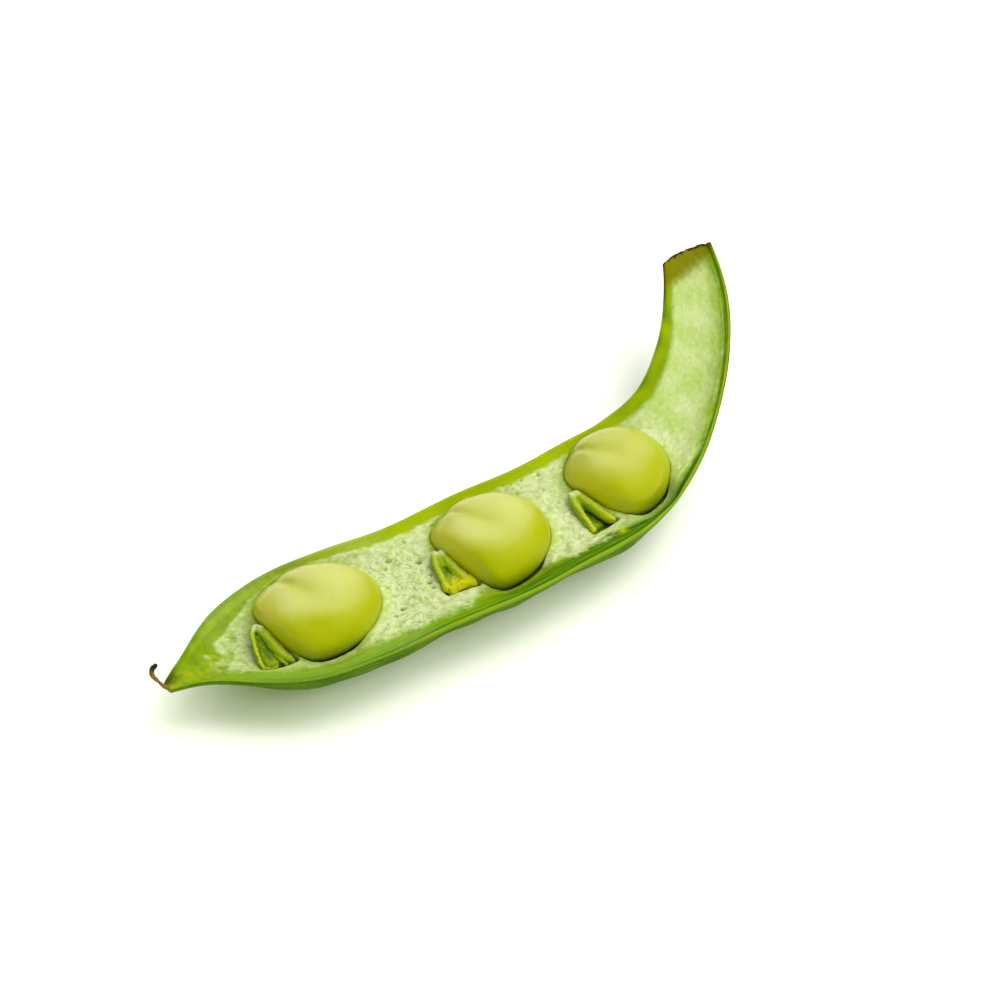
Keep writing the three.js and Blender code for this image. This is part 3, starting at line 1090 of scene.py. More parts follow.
@dataclass
class InnerSide:
    """The open side of the pod: its depth, its lining and its masks at places given by s and u."""

    wall: "PodWall"
    s: np.ndarray
    u: np.ndarray

    def __post_init__(self) -> None:
        """Measures the rims, the beans and the seed stalks from every place."""
        course, s, u = self.wall.course, self.s, self.u
        self.front, self.back = course.value("front", s), course.value("back", s)
        self.from_front, self.from_back = u + self.front, self.back - u
        self.grown = smooth(s, *RIMS_GROW)
        self.neck = smooth(s, *NECK_NARROWS)
        self.calm = 1 - 0.65 * smooth(s, *NECK_START)
        level = course.place(s, u, 0)
        self.bean_gap, self.near, self.beside = [], [], []
        for seat in BEAN_SEATS:
            local = seat.local(course, level)
            self.bean_gap.append(outline_distance(local[:, :2], seat.outline()))
            at, to_back = local[:, 0] / seat.along, local[:, 1] / seat.across
            front = smooth(-to_back, 0.45, 0.9) * smooth(at, -0.7, -0.2)
            self.near.append(front * smooth(at, seat.near_until + 0.35, seat.near_until))
            self.beside.append(np.hypot(at, to_back))
        place = np.stack([s, u], axis=1)
        self.stalk_gap = [outline_distance(place, plan.corners()) for plan in STALK_PLANS]

    def form(self) -> None:
        """Works out how deep the open side lies under the rims."""
        wall = self.wall
        hollow = wall.course.value("hollow", self.s)
        narrow = np.minimum(1, (self.front + self.back) / (3 * (wall.front_band + wall.back_band)))
        # Both rims' bands narrow with the pod, and the back one also beside bean 1 and at the tear.
        front_band = wall.front_band * narrow * (1 - 0.5 * self.neck)
        back_band = narrow * (wall.back_band + (wall.neck_back_band - wall.back_band) * self.neck)
        back_band *= (1 - 0.35 * smooth(self.s, 106, 122)) * (1 - 0.5 * bump(self.s, 27, 8))
        # The bands slope down to a flat-bottomed bowl between them.
        drop = np.minimum(wall.band_drop, hollow)
        middle = (self.back - back_band - self.front + front_band) / 2
        half = (self.back - back_band + self.front - front_band) / 2
        bowl = drop + (hollow - drop) * (1 - np.abs(np.clip((self.u - middle) / half, -1, 1)) ** 3)
        self.depth = np.where(self.from_front < front_band, drop * self.from_front / front_band, bowl)
        self.depth = np.where(self.from_back < back_band, drop * self.from_back / back_band, self.depth)
        turned = smooth(self.s, 78, 90)
        lining_front = wall.lining_front * narrow * (1 - turned) + wall.neck_front_band * turned
        self.past_front, self.past_back = self.from_front - lining_front, self.from_back - back_band
        self.find_lining()
        self.raise_rims()
        self.raise_lining()
        self.sink_pockets()

    def find_lining(self) -> None:
        """Finds where the woolly lining grows and where it is thin and green."""
        s, u = self.s, self.u
        wander = Ripple(3.4, 21).at(s, u) * 0.3 + Ripple(1.2, 22).at(s, u) * 0.2
        # The front rim's bare skin is broadest beside beans 1 and 2.
        bare = 2.4 * smooth(s, 47, 51) * smooth(s, 66, 60) + 0.9 * bump(s, 26, 7)
        soft = 0.45 + 0.75 * self.neck + 0.6 * bump(s, 47, 7) + 0.8 * bump(s, 23, 9)
        lining = smooth(self.past_front - bare + wander, -soft, soft)
        far = 1.3 * smooth(s, 20, 11)
        lining *= smooth(self.past_back - far + wander * 0.3, -0.35, 0.5 + 0.4 * self.neck)
        lining = np.maximum(lining, 0.14 * smooth(s, 44, 36))
        # It stops short of the beak along a blotchy line.
        blotch = Ripple(2.6, 23).at(s, u) * 1.6
        self.lining = lining * smooth(s + wander * 3 + blotch + np.abs(u - 1) * 0.3, 7.5, 13.0)
        # It is greener round the beans, along the front rim and towards both ends.
        by_bean = np.exp(-np.maximum(np.minimum.reduce(self.bean_gap), 0) / 0.9)
        green = 0.3 * Ripple(1.5, 41).at(s, u) + 0.28 * Ripple(0.62, 42).at(s, u)
        green = 0.32 + self.calm * green + 0.2 * Ripple(6, 43).at(s, u)
        green += 0.55 * by_bean * (1 - 0.7 * smooth(s, 30, 36)) + 0.35 * by_bean
        green += 0.3 * smooth(self.past_front, 2.2, 0.3)
        green += 0.6 * smooth(self.past_front, 3.2, 0.6) * smooth(s, 38, 30)
        green += 0.25 * smooth(s, 24, 12) + 0.2 * smooth(s, 88, 98)
        self.green = np.clip(green, 0, 1)

    def raise_rims(self) -> None:
        """Shapes the fine ridges and grooves that run along the rims."""
        s, u, edge, relief = self.s, self.u, self.from_front, self.wall.relief
        wave = 0.12 * Ripple(9, 51).at(s, u)
        marked = smooth(s, 24, 38)
        self.streak = Ripple(1.0, 52).at(s / 7, edge / 0.32) * (0.4 + 0.6 * marked)
        self.ridge = bump(edge, 0.16, 0.13) * self.grown
        second_line = 1.45 * (1 - 0.6 * self.neck)
        self.line = bump(edge + wave, 0.62, 0.2) + 0.5 * bump(edge + wave, second_line, 0.16)
        self.line = self.line * (0.3 + 0.7 * marked)
        rim = smooth(self.past_front, 0.6, -0.4)
        lines = relief.ridge * self.ridge - relief.line * self.line + relief.streak * self.streak * rim
        self.depth -= lines * self.grown
        # A ledge runs in front of bean 3, with a groove along its rim side.
        ledge_at = np.interp(s, *np.array(self.wall.ledge_line).T) + 0.5 * wave
        groove = bump(edge, ledge_at - 1.15, 0.24) * smooth(s, 69.5, 72) * smooth(s, 90, 86)
        self.ledge = bump(edge, ledge_at, 0.62) * smooth(s, 70.5, 72.5) * smooth(s, 91, 86)
        self.depth += relief.ledge_groove * groove
        back_bead = relief.back_bead * bump(self.from_back, 0.4, 0.3)
        self.depth -= relief.ledge * self.ledge + back_bead * self.grown
        spots = (self.wall.crumb, self.wall.flaw, self.wall.notch)
        self.crumb, self.flaw, notch = (spot.at(s, u) for spot in spots)
        self.depth += relief.notch * notch - relief.flaw * self.flaw - relief.crumb * self.crumb
        self.ledge_groove = np.maximum(groove, notch)

    def raise_lining(self) -> None:
        """Raises the spongy lining in lumps, more so where it meets a bean."""
        s, u, relief = self.s, self.u, self.wall.relief
        lumps = sum(height * ripple.at(s, u) for height, ripple in relief.lumps)
        holes = np.clip(Ripple(1.9, 34).at(s, u) - 1.1, 0, 1) * smooth(s, 34, 40) * smooth(s, 76, 70)
        pits = (pit.at(s, u) for pit in self.wall.lining_pits)
        self.holes = np.maximum.reduce([holes, *pits]) * self.lining
        self.depth -= self.lining * (relief.lining + lumps * self.calm)
        self.depth += relief.hole * self.holes
        # The lining stands up in a collar round each bean, and dips where its front is open.
        for gap, near in zip(self.bean_gap, self.near):
            collar = bump(np.maximum(gap, 0), 0, relief.collar_width) * (1 - near) * self.lining
            self.depth -= np.maximum(self.depth - relief.collar_at, 0) * collar * 0.9
            self.depth += np.maximum(relief.front_dip - self.depth, 0) * (near * smooth(gap, 3.4, 0.3))

    def sink_pockets(self) -> None:
        """Sinks the pocket under each bean and the pit round each seed stalk."""
        wall, relief = self.wall, self.wall.relief
        floor, share, hem, dark, pit = np.zeros((5, len(self.s)))
        for seat, gap, near, away in zip(BEAN_SEATS, self.bean_gap, self.near, self.beside):
            bowl = -seat.n + (seat.up + relief.pocket_gap) * np.sqrt(np.clip(1 - (away * 0.985) ** 2, 0, 1))
            deep = np.maximum(bowl, relief.pocket_shallowest + relief.pocket_open_front * near)
            # The pocket stands off the bean's front and fits tightly round the rest of it.
            edge = seat.near_gap * near - 0.12
            here = smooth(gap, edge + 0.12, edge - 0.2)
            floor = np.where(here > share, deep, floor)
            share = np.maximum(share, here)
            hem = np.maximum(hem, smooth(gap, 0.6, 0.1) * (1 - near))
            # The pocket is painted dark as painted shade, most in the gap in front of the bean.
            dark = np.maximum(dark, here * (0.15 + 0.85 * near))
        for plan, gap in zip(STALK_PLANS, self.stalk_gap):
            here = smooth(gap, wall.pit_gap + 0.2, wall.pit_gap - 0.25)
            floor = np.where(here > share, plan.pit_floor, floor)
            share = np.maximum(share, here)
            pit = np.maximum(pit, here)
        deep = np.maximum(self.depth, floor)
        # Neither may cut through the skin under it.
        half = np.where(self.u < 0, self.front, self.back)
        pinch = np.where(self.u < 0, wall.course.value("pinch", self.s), wall.back_pinch)
        skin = np.sqrt(np.clip(1 - (self.u / half) ** 2, 0, 1)) ** pinch
        limit = wall.course.value("depth", self.s) * skin - wall.skin_left
        self.depth += (np.maximum(np.minimum(deep, limit), self.depth) - self.depth) * share
        self.hem = hem * (1 - pit)
        self.pit = np.maximum(np.maximum(dark, pit), 0.8 * self.holes)

    def wool(self) -> np.ndarray:
        """Works out how thick the wool grows.

        Returns:
            A share for each place.
        """
        nearest = np.minimum.reduce(self.bean_gap + self.stalk_gap)
        thick = 0.35 + 0.65 * bump(self.s, 41, 9) + 0.3 * bump(self.s, 68, 5) + 0.2 * bump(self.s, 15, 4)
        clear = smooth(nearest, 0.9, 2.0) * smooth(self.past_back, 0.4, 1.4)
        return smooth(self.lining, 0.6, 1.0) * thick * clear * smooth(self.s, 94, 84)

    def masks(self) -> dict[str, np.ndarray]:
        """Works out the masks for the wall's material.

        Returns:
            A value for each place, by the mask's name.
        """
        s, u = self.s, self.u
        left = self.wall.course.length - s
        rag = Ripple(1.3, 61).at(s, u) * 0.18
        dry_edge = bump(self.from_back, 0.0, 0.3) * smooth(s, 116, 120)
        beak = smooth(s + rag * 3, 3.4, 0.8) * smooth(u, -0.6, 1.0)
        # The skin's tone wanders from place to place.
        tone = 0.5 + 0.2 * Ripple(5.0, 62).at(s, u) + 0.2 * Ripple(1.6, 63).at(s, u)
        rim = smooth(self.past_front, 0.9, -0.5)
        back_rim = smooth(self.past_back, 0.5, -0.2)
        pale = self.ledge * 0.35 + 0.5 * bump(self.from_front, 1.05, 0.2) * rim * (1 - self.neck)
        ridge = self.ridge * smooth(s, *RIDGE_START) * (1 - 0.4 * self.neck)
        # The rims' shaded parts: the front one past bean 1 and, more lightly, beside it, and the
        # back one at the neck and by the beak.
        shaded = rim * smooth(s, 47, 55) * (1 - 0.2 * bump(s, 55, 9)) * (0.85 - 0.35 * self.streak)
        shaded = shaded * (1 - self.neck) + self.neck * back_rim
        lightly = (0.5 - 0.3 * self.streak) * smooth(self.from_front, 1.7, 0.4)
        shaded += lightly * smooth(s, 10, 18) * smooth(s, 52, 44)
        shaded += 0.6 * smooth(s, 36, 24) * smooth(self.from_back, 1.0, 0.3)
        back = back_rim * (0.25 + 0.75 * smooth(s, *BACK_RIM_START))
        back *= (
            0.9 - 0.26 * self.neck + 0.18 * Ripple(6.0, 67).at(s, u)
            - 0.25 * bump(self.from_back, 0.25, 0.3)
        )
        end = smooth(left + rag - 0.4 * u, 4.8, 1.8)
        lining = np.maximum(self.lining * (1 - 0.08 * self.neck), 0.75 * self.ledge)
        # The grooves and the notch are painted dark, as painted shade in them.
        groove = (0.5 - 0.3 * self.neck) * self.line * rim + 0.8 * self.ledge_groove
        masks = {
            "outside": np.zeros_like(s),
            "lining": lining * (1 - self.pit) * (1 - self.flaw) * (1 - 0.85 * end),
            "wool": self.wool(),
            "green": self.green + 0.35 * self.ledge,
            "tone": tone,
            "front_rim": rim * self.grown * (0.85 - 0.25 * self.streak) * (1 - 0.5 * self.neck),
            "shaded_rim": shaded,
            "ridge": ridge + pale * 0.3,
            "hem": self.hem * 0.7,
            "groove": groove * self.grown,
            "back_rim": back,
            # pit: painted shade in the pockets, the stalk pits and the lining's holes.
            "pit": self.pit * 0.9,
            "olive": end + 0.6 * dry_edge,
            "yellow": self.flaw + self.crumb,
            "torn": smooth(left + rag, 0.55, 0.2) + dry_edge * 0.8 + 0.8 * beak,
        }
        return {name: np.clip(values, 0, 1) for name, values in masks.items()}


@dataclass
class PodWall:
    """The pod half: a thin shell with two rims, a woolly lining and a pocket for each bean."""

    course: PodCourse
    finish: PodWallFinish = PodWallFinish()
    rows: int = 480
    belly_columns: int = 40
    open_columns: int = 160
    front_band: float = 2.7
    back_band: float = 1.9
    neck_back_band: float = 2.4
    lining_front: float = 2.7
    neck_front_band: float = 1.3
    band_drop: float = 0.7
    lip: float = 0.1
    back_pinch: float = 1.0
    tear_start: float = 112.0
    tear_front: float = 2.0
    tear_back: float = -0.6
    tear_bulge: float = 1.3
    tear_ragged: float = 0.16
    pit_gap: float = 0.5
    lining_pits: tuple[Spot, ...] = (
        Spot(45.0, 3.7, 0.45, 0.3), Spot(44.6, -0.6, 0.45, 0.3),
        Spot(40.6, 6.0, 0.45, 0.3), Spot(38.5, -3.4, 0.45, 0.3),
    )
    crumb: Spot = Spot(57.4, 10.1, 0.5, 0.35)
    flaw: Spot = Spot(74.6, -8.8, 0.75, 0.5)
    notch: Spot = Spot(72.7, -7.9, 0.7, 0.3)
    skin_left: float = 0.9
    relief: Relief = Relief()
    bead: float = 0.3
    swelling: float = 1.3
    swelling_depth: tuple[float, float] = (-3.8, 2.4)
    swelling_places: tuple[tuple[float, float], ...] = ((43, 9), (69, 8))
    skin_waves: float = 0.12
    ledge_line: tuple[tuple[float, float], ...] = (
        (70.0, 4.4), (72.0, 4.3), (74.5, 3.45), (76.6, 2.9),
        (78.7, 2.4), (80.8, 2.3), (83.2, 1.9), (90.0, 1.95),
    )

    def shell_place(self, s: np.ndarray, u: np.ndarray, n: np.ndarray) -> np.ndarray:
        """Places points of the shell, with the torn end's slant and the flat resting spots.

        Args:
            s: Along the spine.
            u: Across to the back rim.
            n: Upwards from the rims.

        Returns:
            Places in millimetres.
        """
        points = self.course.place(s, u, n)
        front = self.course.value("front", s)
        over = (u + front) / (front + self.course.value("back", s))
        ramp = np.clip((s - self.tear_start) / (self.course.length - self.tear_start), 0, 1)
        pull = self.tear_front + (self.tear_back - self.tear_front) * over
        pull += self.tear_bulge * 4 * over * (1 - over)
        rags = (Ripple(2.2, 5).at(u, n) + 0.5 * Ripple(0.8, 6).at(u, n)) * self.tear_ragged
        pull = pull * ramp**2 + rags * ramp**12
        points += self.course.direction(s) * pull[:, None]
        points[:, 2] = np.maximum(points[:, 2], 0.0)
        return points

    def belly(self, s: np.ndarray, turn: np.ndarray) -> tuple[np.ndarray, np.ndarray]:
        """Finds the outside of the shell.

        Args:
            s: Along the spine.
            turn: Round the belly, from 0 at the front rim to pi at the back rim.

        Returns:
            u and n of each point.
        """
        side = np.cos(turn)
        half = np.where(side > 0, self.course.value("front", s), self.course.value("back", s))
        pinch = np.where(side > 0, self.course.value("pinch", s), self.back_pinch)
        n = -self.course.value("depth", s) * np.sin(turn).clip(0, 1) ** pinch
        grown = smooth(s, *BELLY_GROWS)
        bead = self.bead * grown * bump(n, -0.3, 0.5) * np.where(side > 0, 1.0, 0.5)
        # The front swells between the beans, so that the belly doesn't pinch in there.
        between = sum(bump(s, *place) for place in self.swelling_places)
        bead += self.swelling * bump(n, *self.swelling_depth) * between * (side > 0)
        waves = Ripple(9.0, 11).at(s, turn * 8) * self.skin_waves * smooth(-n, 0.5, 3)
        return -side * (half + bead + waves), n - waves * grown

    def build(self) -> bpy.types.Object:
        """Builds the shell as one closed mesh, set on the pod's solid.

        Returns:
            The shell, with its masks.
        """
        rows = np.linspace(0, self.course.length, self.rows)
        turn = np.linspace(0, math.pi, self.belly_columns)
        s_out, turn = (grid.ravel() for grid in np.meshgrid(rows, turn, indexing="ij"))
        u_out, n_out = self.belly(s_out, turn)
        # Columns stand closer near both rims, where the relief is finest.
        share = np.linspace(1, 0, self.open_columns)
        share = ((1 - np.cos(math.pi * share)) / 2 + 1.5 * share) / 2.5
        s_in, share = (grid.ravel() for grid in np.meshgrid(rows, share, indexing="ij"))
        front, back = self.course.value("front", s_in), self.course.value("back", s_in)
        inner = InnerSide(self, s_in, self.lip - front + (front + back - 2 * self.lip) * share)
        inner.form()
        outer = self.shell_place(s_out, u_out, n_out).reshape(self.rows, -1, 3)
        open_side = self.shell_place(s_in, inner.u, -inner.depth).reshape(self.rows, -1, 3)
        points = np.concatenate([outer, open_side], axis=1)
        piece = new_piece("pod_wall", points.reshape(-1, 3), tube_faces(self.rows, points.shape[1]))
        skin = self.skin_masks(s_out, n_out, turn)
        for name, values in inner.masks().items():
            both = (skin.get(name, np.zeros_like(s_out)), values)
            grids = [side.reshape(self.rows, -1) for side in both]
            paint(piece, {name: np.concatenate(grids, axis=1).ravel()})
        dress(piece, self.finish.material(), "pod_valve")
        return piece

    def skin_masks(self, s: np.ndarray, n: np.ndarray, turn: np.ndarray) -> dict[str, np.ndarray]:
        """Works out the masks for the outside of the shell.

        Args:
            s: Along the spine.
            n: Upwards from the rims.
            turn: Round the belly.

        Returns:
            A value for each point, by the mask's name.
        """
        seam = bump(n, -0.05, 0.2) * smooth(s, *RIMS_GROW)
        tone = 0.5 + 0.2 * Ripple(9.0, 64).at(s, turn * 5) + 0.25 * Ripple(1.2, 65).at(s / 6, turn * 9)
        left = self.course.length - s
        rag = Ripple(1.3, 66).at(s, turn * 5) * 0.2
        front = np.cos(turn) > 0
        dry = bump(n, -0.2, 0.8) * smooth(s, 115, 119) * ~front
        beak = smooth(s + rag * 3, 3.2, 0.6)
        return {
            "outside": np.ones_like(s),
            "tone": np.clip(tone, 0, 1),
            "ridge": seam * front * smooth(s, *RIDGE_START) * (1 - 0.7 * smooth(s, *NECK_START)) * 0.55,
            "back_rim": seam * ~front * smooth(s, *BACK_RIM_START),
            "olive": np.clip(smooth(left + rag, 1.4, 0.4) + 0.5 * beak, 0, 1) * 0.9,
            "torn": np.clip(smooth(left + rag, 0.5, 0.2) + dry + 0.5 * beak * ~front, 0, 1),
        }


@dataclass
class LiningWool:
    """Fine curled hairs that lie on the pod's lining and follow one another's bends."""

    surface: bpy.types.Object
    finish: WoolFinish = WoolFinish()
    hairs_per_mm2: float = 3.0
    hair_length: float = 1.6
    hair_radius: float = 0.035
    bend: float = 1.1
    bends_per_mm: float = 0.9
    shortest: float = 0.4
    longest: float = 1.3
    hair_points: int = 8
    hair_sides: int = 3
    seed: int = 7

    def build(self) -> bpy.types.Object:
        """Scatters the hairs over the lining of the finished wall.

        Returns:
            The hairs as one plain mesh.
        """
        patch = linked("wool_ground", self.surface.data.copy())
        tree, sockets = self.tree()
        modifier = patch.modifiers.new("wool", "NODES")
        modifier.node_group = tree
        values = {
            "Hairs per m2": self.hairs_per_mm2 / MM**2,
            "Hair length": self.hair_length * MM,
            "Hair radius": self.hair_radius * MM,
            "Bend": self.bend * MM,
            "Bends per m": self.bends_per_mm / MM,
            "Seed": self.seed,
            "Finish": self.finish.material(),
        }
        for name, value in values.items():
            modifier[sockets[name]] = value
        ready = patch.evaluated_get(bpy.context.evaluated_depsgraph_get())
        mesh = bpy.data.meshes.new_from_object(ready)
        patch.modifiers.remove(modifier)
        bpy.data.objects.remove(patch)
        piece = linked("lining_wool", mesh)
        dress(piece, mesh.materials[-1])
        return piece

    def tree(self) -> tuple[bpy.types.NodeTree, dict[str, str]]:
        """Builds the node tree that scatters the hairs.

        Returns:
            The tree, and each named input's identifier.
        """
        tree = bpy.data.node_groups.new("lining_wool", "GeometryNodeTree")
        kinds = {"Geometry": "Geometry", "Seed": "Int", "Finish": "Material"}
        sizes = ("Hairs per m2", "Hair length", "Hair radius", "Bend", "Bends per m")
        sockets = {
            name: tree.interface.new_socket(
                name=name, in_out="INPUT", socket_type=f"NodeSocket{kind}",
            ).identifier
            for name, kind in (kinds | dict.fromkeys(sizes, "Float")).items()
        }
        tree.interface.new_socket(name="Geometry", in_out="OUTPUT", socket_type="NodeSocketGeometry")
        given = add(tree, "NodeGroupInput").outputs
        wool = add(tree, "GeometryNodeInputNamedAttribute", {"Name": "wool"}, data_type="FLOAT")
        density = add(tree, "ShaderNodeMath", {0: wool, 1: given["Hairs per m2"]}, operation="MULTIPLY")
        points = add(tree, "GeometryNodeDistributePointsOnFaces", {
            "Mesh": given["Geometry"], "Density": density, "Seed": given["Seed"],
        }, distribute_method="RANDOM").outputs
        end = add(tree, "ShaderNodeCombineXYZ", {"X": given["Hair length"]})
        line = add(tree, "GeometryNodeCurvePrimitiveLine", {"End": end})
        hair = add(tree, "GeometryNodeResampleCurve", {"Curve": line, "Count": self.hair_points})
        turn = add(tree, "FunctionNodeRandomValue", {
            "Min": (-0.1, -0.05, 0.0), "Max": (0.1, 0.03, 2 * math.pi), "Seed": given["Seed"],
        }, data_type="FLOAT_VECTOR")
        size = add(tree, "FunctionNodeRandomValue", {
            2: self.shortest, 3: self.longest, "Seed": given["Seed"],
        }, data_type="FLOAT")
        laid = add(tree, "FunctionNodeRotateRotation", {
            "Rotation": points["Rotation"], "Rotate By": turn.outputs["Value"],
        }, rotation_space="LOCAL")
        hairs = add(tree, "GeometryNodeInstanceOnPoints", {
            "Points": points["Points"], "Instance": hair, "Rotation": laid, "Scale": size.outputs[1],
        })
        loose = add(tree, "GeometryNodeRealizeInstances", {"Geometry": hairs})
        place = add(tree, "GeometryNodeInputPosition")
        sway = add(tree, "ShaderNodeTexNoise", {
            "Vector": place, "Scale": given["Bends per m"], "Detail": 1.0,
        }, noise_dimensions="3D")
        centred = add(tree, "ShaderNodeVectorMath", {
            0: sway.outputs["Color"], 1: (0.5, 0.5, 0.5),
        }, operation="SUBTRACT")
        level = add(tree, "ShaderNodeVectorMath", {0: centred, 1: (1.0, 1.0, 0.1)}, operation="MULTIPLY")
        shift = add(tree, "ShaderNodeVectorMath", {0: level, "Scale": given["Bend"]}, operation="SCALE")
        bent = add(tree, "GeometryNodeSetPosition", {"Geometry": loose, "Offset": shift})
        section = add(tree, "GeometryNodeCurvePrimitiveCircle", {
            "Resolution": self.hair_sides, "Radius": given["Hair radius"],
        })
        solid = add(tree, "GeometryNodeCurveToMesh", {
            "Curve": bent, "Profile Curve": section, "Fill Caps": True,
        })
        real = add(tree, "GeometryNodeRealizeInstances", {"Geometry": solid})
        dressed = add(tree, "GeometryNodeSetMaterial", {"Geometry": real, "Material": given["Finish"]})
        add(tree, "NodeGroupOutput", {"Geometry": dressed})
        return tree, sockets


@dataclass
class Bean:
    """One fresh bean: a large lobe and a small root lobe, with a crease between them."""

    course: PodCourse
    seat: BeanSeat
    name: str
    fineness: int = 6
    # How far the painted sheen reaches over the top, and how strong it is on the small lobe.
    painted_sheen_top: tuple[float, float] = (0.4, 1.02)
    painted_sheen_lobe: float = 0.45
    warm_end: tuple[float, float] = (0.45, 0.95)
    shaded_front: tuple[float, float] = (0.65, 1.05)
    strength: float = 0.85

    def build(self, material: bpy.types.Material) -> bpy.types.Object:
        """Builds the bean in its pocket.

        Args:
            material: The beans' material.

        Returns:
            The bean.
        """
        sphere = bmesh.new()
        bmesh.ops.create_icosphere(sphere, subdivisions=self.fineness, radius=1.0)
        direction = unit(np.array([vert.co[:] for vert in sphere.verts]))
        faces = [tuple(vert.index for vert in face.verts) for face in sphere.faces]
        sphere.free()
        points = self.seat.world(self.course, self.seat.surface(direction))
        piece = new_piece(f"{self.name}_seed", points, faces)
        along, across, up = direction.T
        lobe = bump(along, -0.55, 0.3) * bump(across, 0.0, 0.3) * (up > 0)
        paint(piece, {
            # top is a painted sheen on the bean's top, on its back-facing side and on its small lobe.
            "top": smooth(up + 0.5 * across, *self.painted_sheen_top) * self.seat.paleness + self.painted_sheen_lobe * lobe,
            # warm: the bean's own yellower end, brightened further as painted light.
            "warm": smooth(-along, *self.warm_end) * self.strength,
            # crease: painted shade in the valley between the two lobes.
            "crease": self.seat.crease(direction) * self.strength,
            # low: painted shade on the bean's lower front.
            "low": smooth(-0.9 * across - 0.45 * up, *self.shaded_front) * self.seat.shade,
        })
        dress(piece, material, self.name)
        return piece


@dataclass
class SeedStalk:
    """One seed stalk: fleshy straps that part from a pale tip and clasp the bean's end."""

    course: PodCourse
    plan: StalkPlan
    name: str
    voxel: float = 0.09
    softening: int = 7
    ragged: float = 0.06
    tip_drop: float = 0.2
    foot_drop: float = 1.2
    tip_reach: tuple[float, float] = (1.9, 0.6)
    foot_reach: tuple[float, float] = (2.4, 0.6)
    crest_reach: tuple[float, float] = (0.6, 0.15)
    crest_strength: float = 0.8

    def build(self, material: bpy.types.Material) -> bpy.types.Object:
        """Builds the stalk as one soft body.

        Args:
            material: The seed stalks' material.

        Returns:
            The stalk.
        """
        plan, course = self.plan, self.course
        points, faces = fused([strap.shell(course) for strap in plan.straps], self.voxel, self.softening)
        sway = [
            Ripple(1.3, seed).at(*points.T) + 0.4 * Ripple(0.5, seed + 3).at(*points.T)
            for seed in (81, 82, 83)
        ]
        points = points + np.stack(sway, axis=1) * self.ragged
        piece = new_piece(f"{self.name}_strap", points, faces)
        drops = (-self.tip_drop, -self.foot_drop, -self.foot_drop)
        tip, inner, outer = course.place(*plan.corners().T, drops)
        high, low = course.place(*np.array(plan.valley).T)
        crest = np.full(len(points), np.inf)
        for strap in plan.straps[:2]:
            for place in course.place(*curve(np.array(strap.line), 24).T):
                crest = np.minimum(crest, np.linalg.norm(points - place, axis=1))
        # Painted shade darkens the valley between the legs, in deep green flecks that run along it.
        fleck = Ripple(0.9, 84).at(*(points * (0.6, 0.35, 1.0)).T)
        valley = smooth(line_distance(points, high, low), plan.valley_width, 0.4 * plan.valley_width)
        paint(piece, {
            "tip": smooth(np.linalg.norm(points - tip, axis=1), *self.tip_reach),
            "foot": smooth(line_distance(points, outer, inner), *self.foot_reach) * plan.yellow,
            # crest: a painted highlight along the legs' tops.
            "crest": smooth(crest, *self.crest_reach) * self.crest_strength,
            "deep": valley * (0.75 + 0.45 * fleck),
        })
        dress(piece, material, self.name)
        return piece


@dataclass
class DriedStyle:
    """The thin dried style that curls up from the beak. Its points are measured from the beak."""

    course: PodCourse
    finish: DriedStyleFinish = DriedStyleFinish()
    points: tuple[Point, ...] = (
        (0.1, -0.1, -0.5), (-0.4, 0.55, -0.15), (-0.6, 1.4, 0.3), (-0.9, 2.25, 0.95), (-0.85, 2.75, 1.5),
        (-0.4, 2.9, 2.05), (0.35, 2.72, 2.55),
    )
    radii: tuple[float, ...] = (0.5, 0.3, 0.26, 0.33, 0.38, 0.4, 0.34)
    top: Point = (-0.9, -0.3, 0.4)
    wrinkles: Ripple = Ripple(0.8, 41)
    wrinkle_share: float = 0.14
    rings: int = 70
    sides: int = 16

    def build(self) -> bpy.types.Object:
        """Builds the style as one wrinkled stem.

        Returns:
            The style.
        """
        rows = curve(np.column_stack([self.points, self.radii]), self.rings)
        line, radius = rows[:, None, :3], rows[:, 3] * rounding(self.rings, reach=0.06, least=0.03)
        corners = tube(rows[:, :3], self.top, radius, radius, self.sides)
        wrinkle = self.wrinkles.at(*corners.reshape(-1, 3).T).reshape(self.rings, self.sides, 1)
        corners = line + (corners - line) * (1 + self.wrinkle_share * wrinkle)
        points = corners.reshape(-1, 3) + self.course.place(0, 0, 0)
        piece = new_piece("dried_style_stem", points, tube_faces(self.rings, self.sides))
        paint(piece, {"tip": np.repeat(smooth(np.linspace(0, 1, self.rings), 0.6, 1.0), self.sides)})
        dress(piece, self.finish.material(), "dried_style")
        return piece


@dataclass(frozen=True)
class SoftLight:
    """A large soft light that faces the object.

    Its azimuth is in degrees clockwise from straight behind the object, seen from the camera.
    Its elevation is in degrees over the floor, and its power in watts.
    """

    name: str
    azimuth: float
    elevation: float
    size: tuple[float, float]
    power: float
    mirrored: bool = False
    colour: str = "#ffffff"


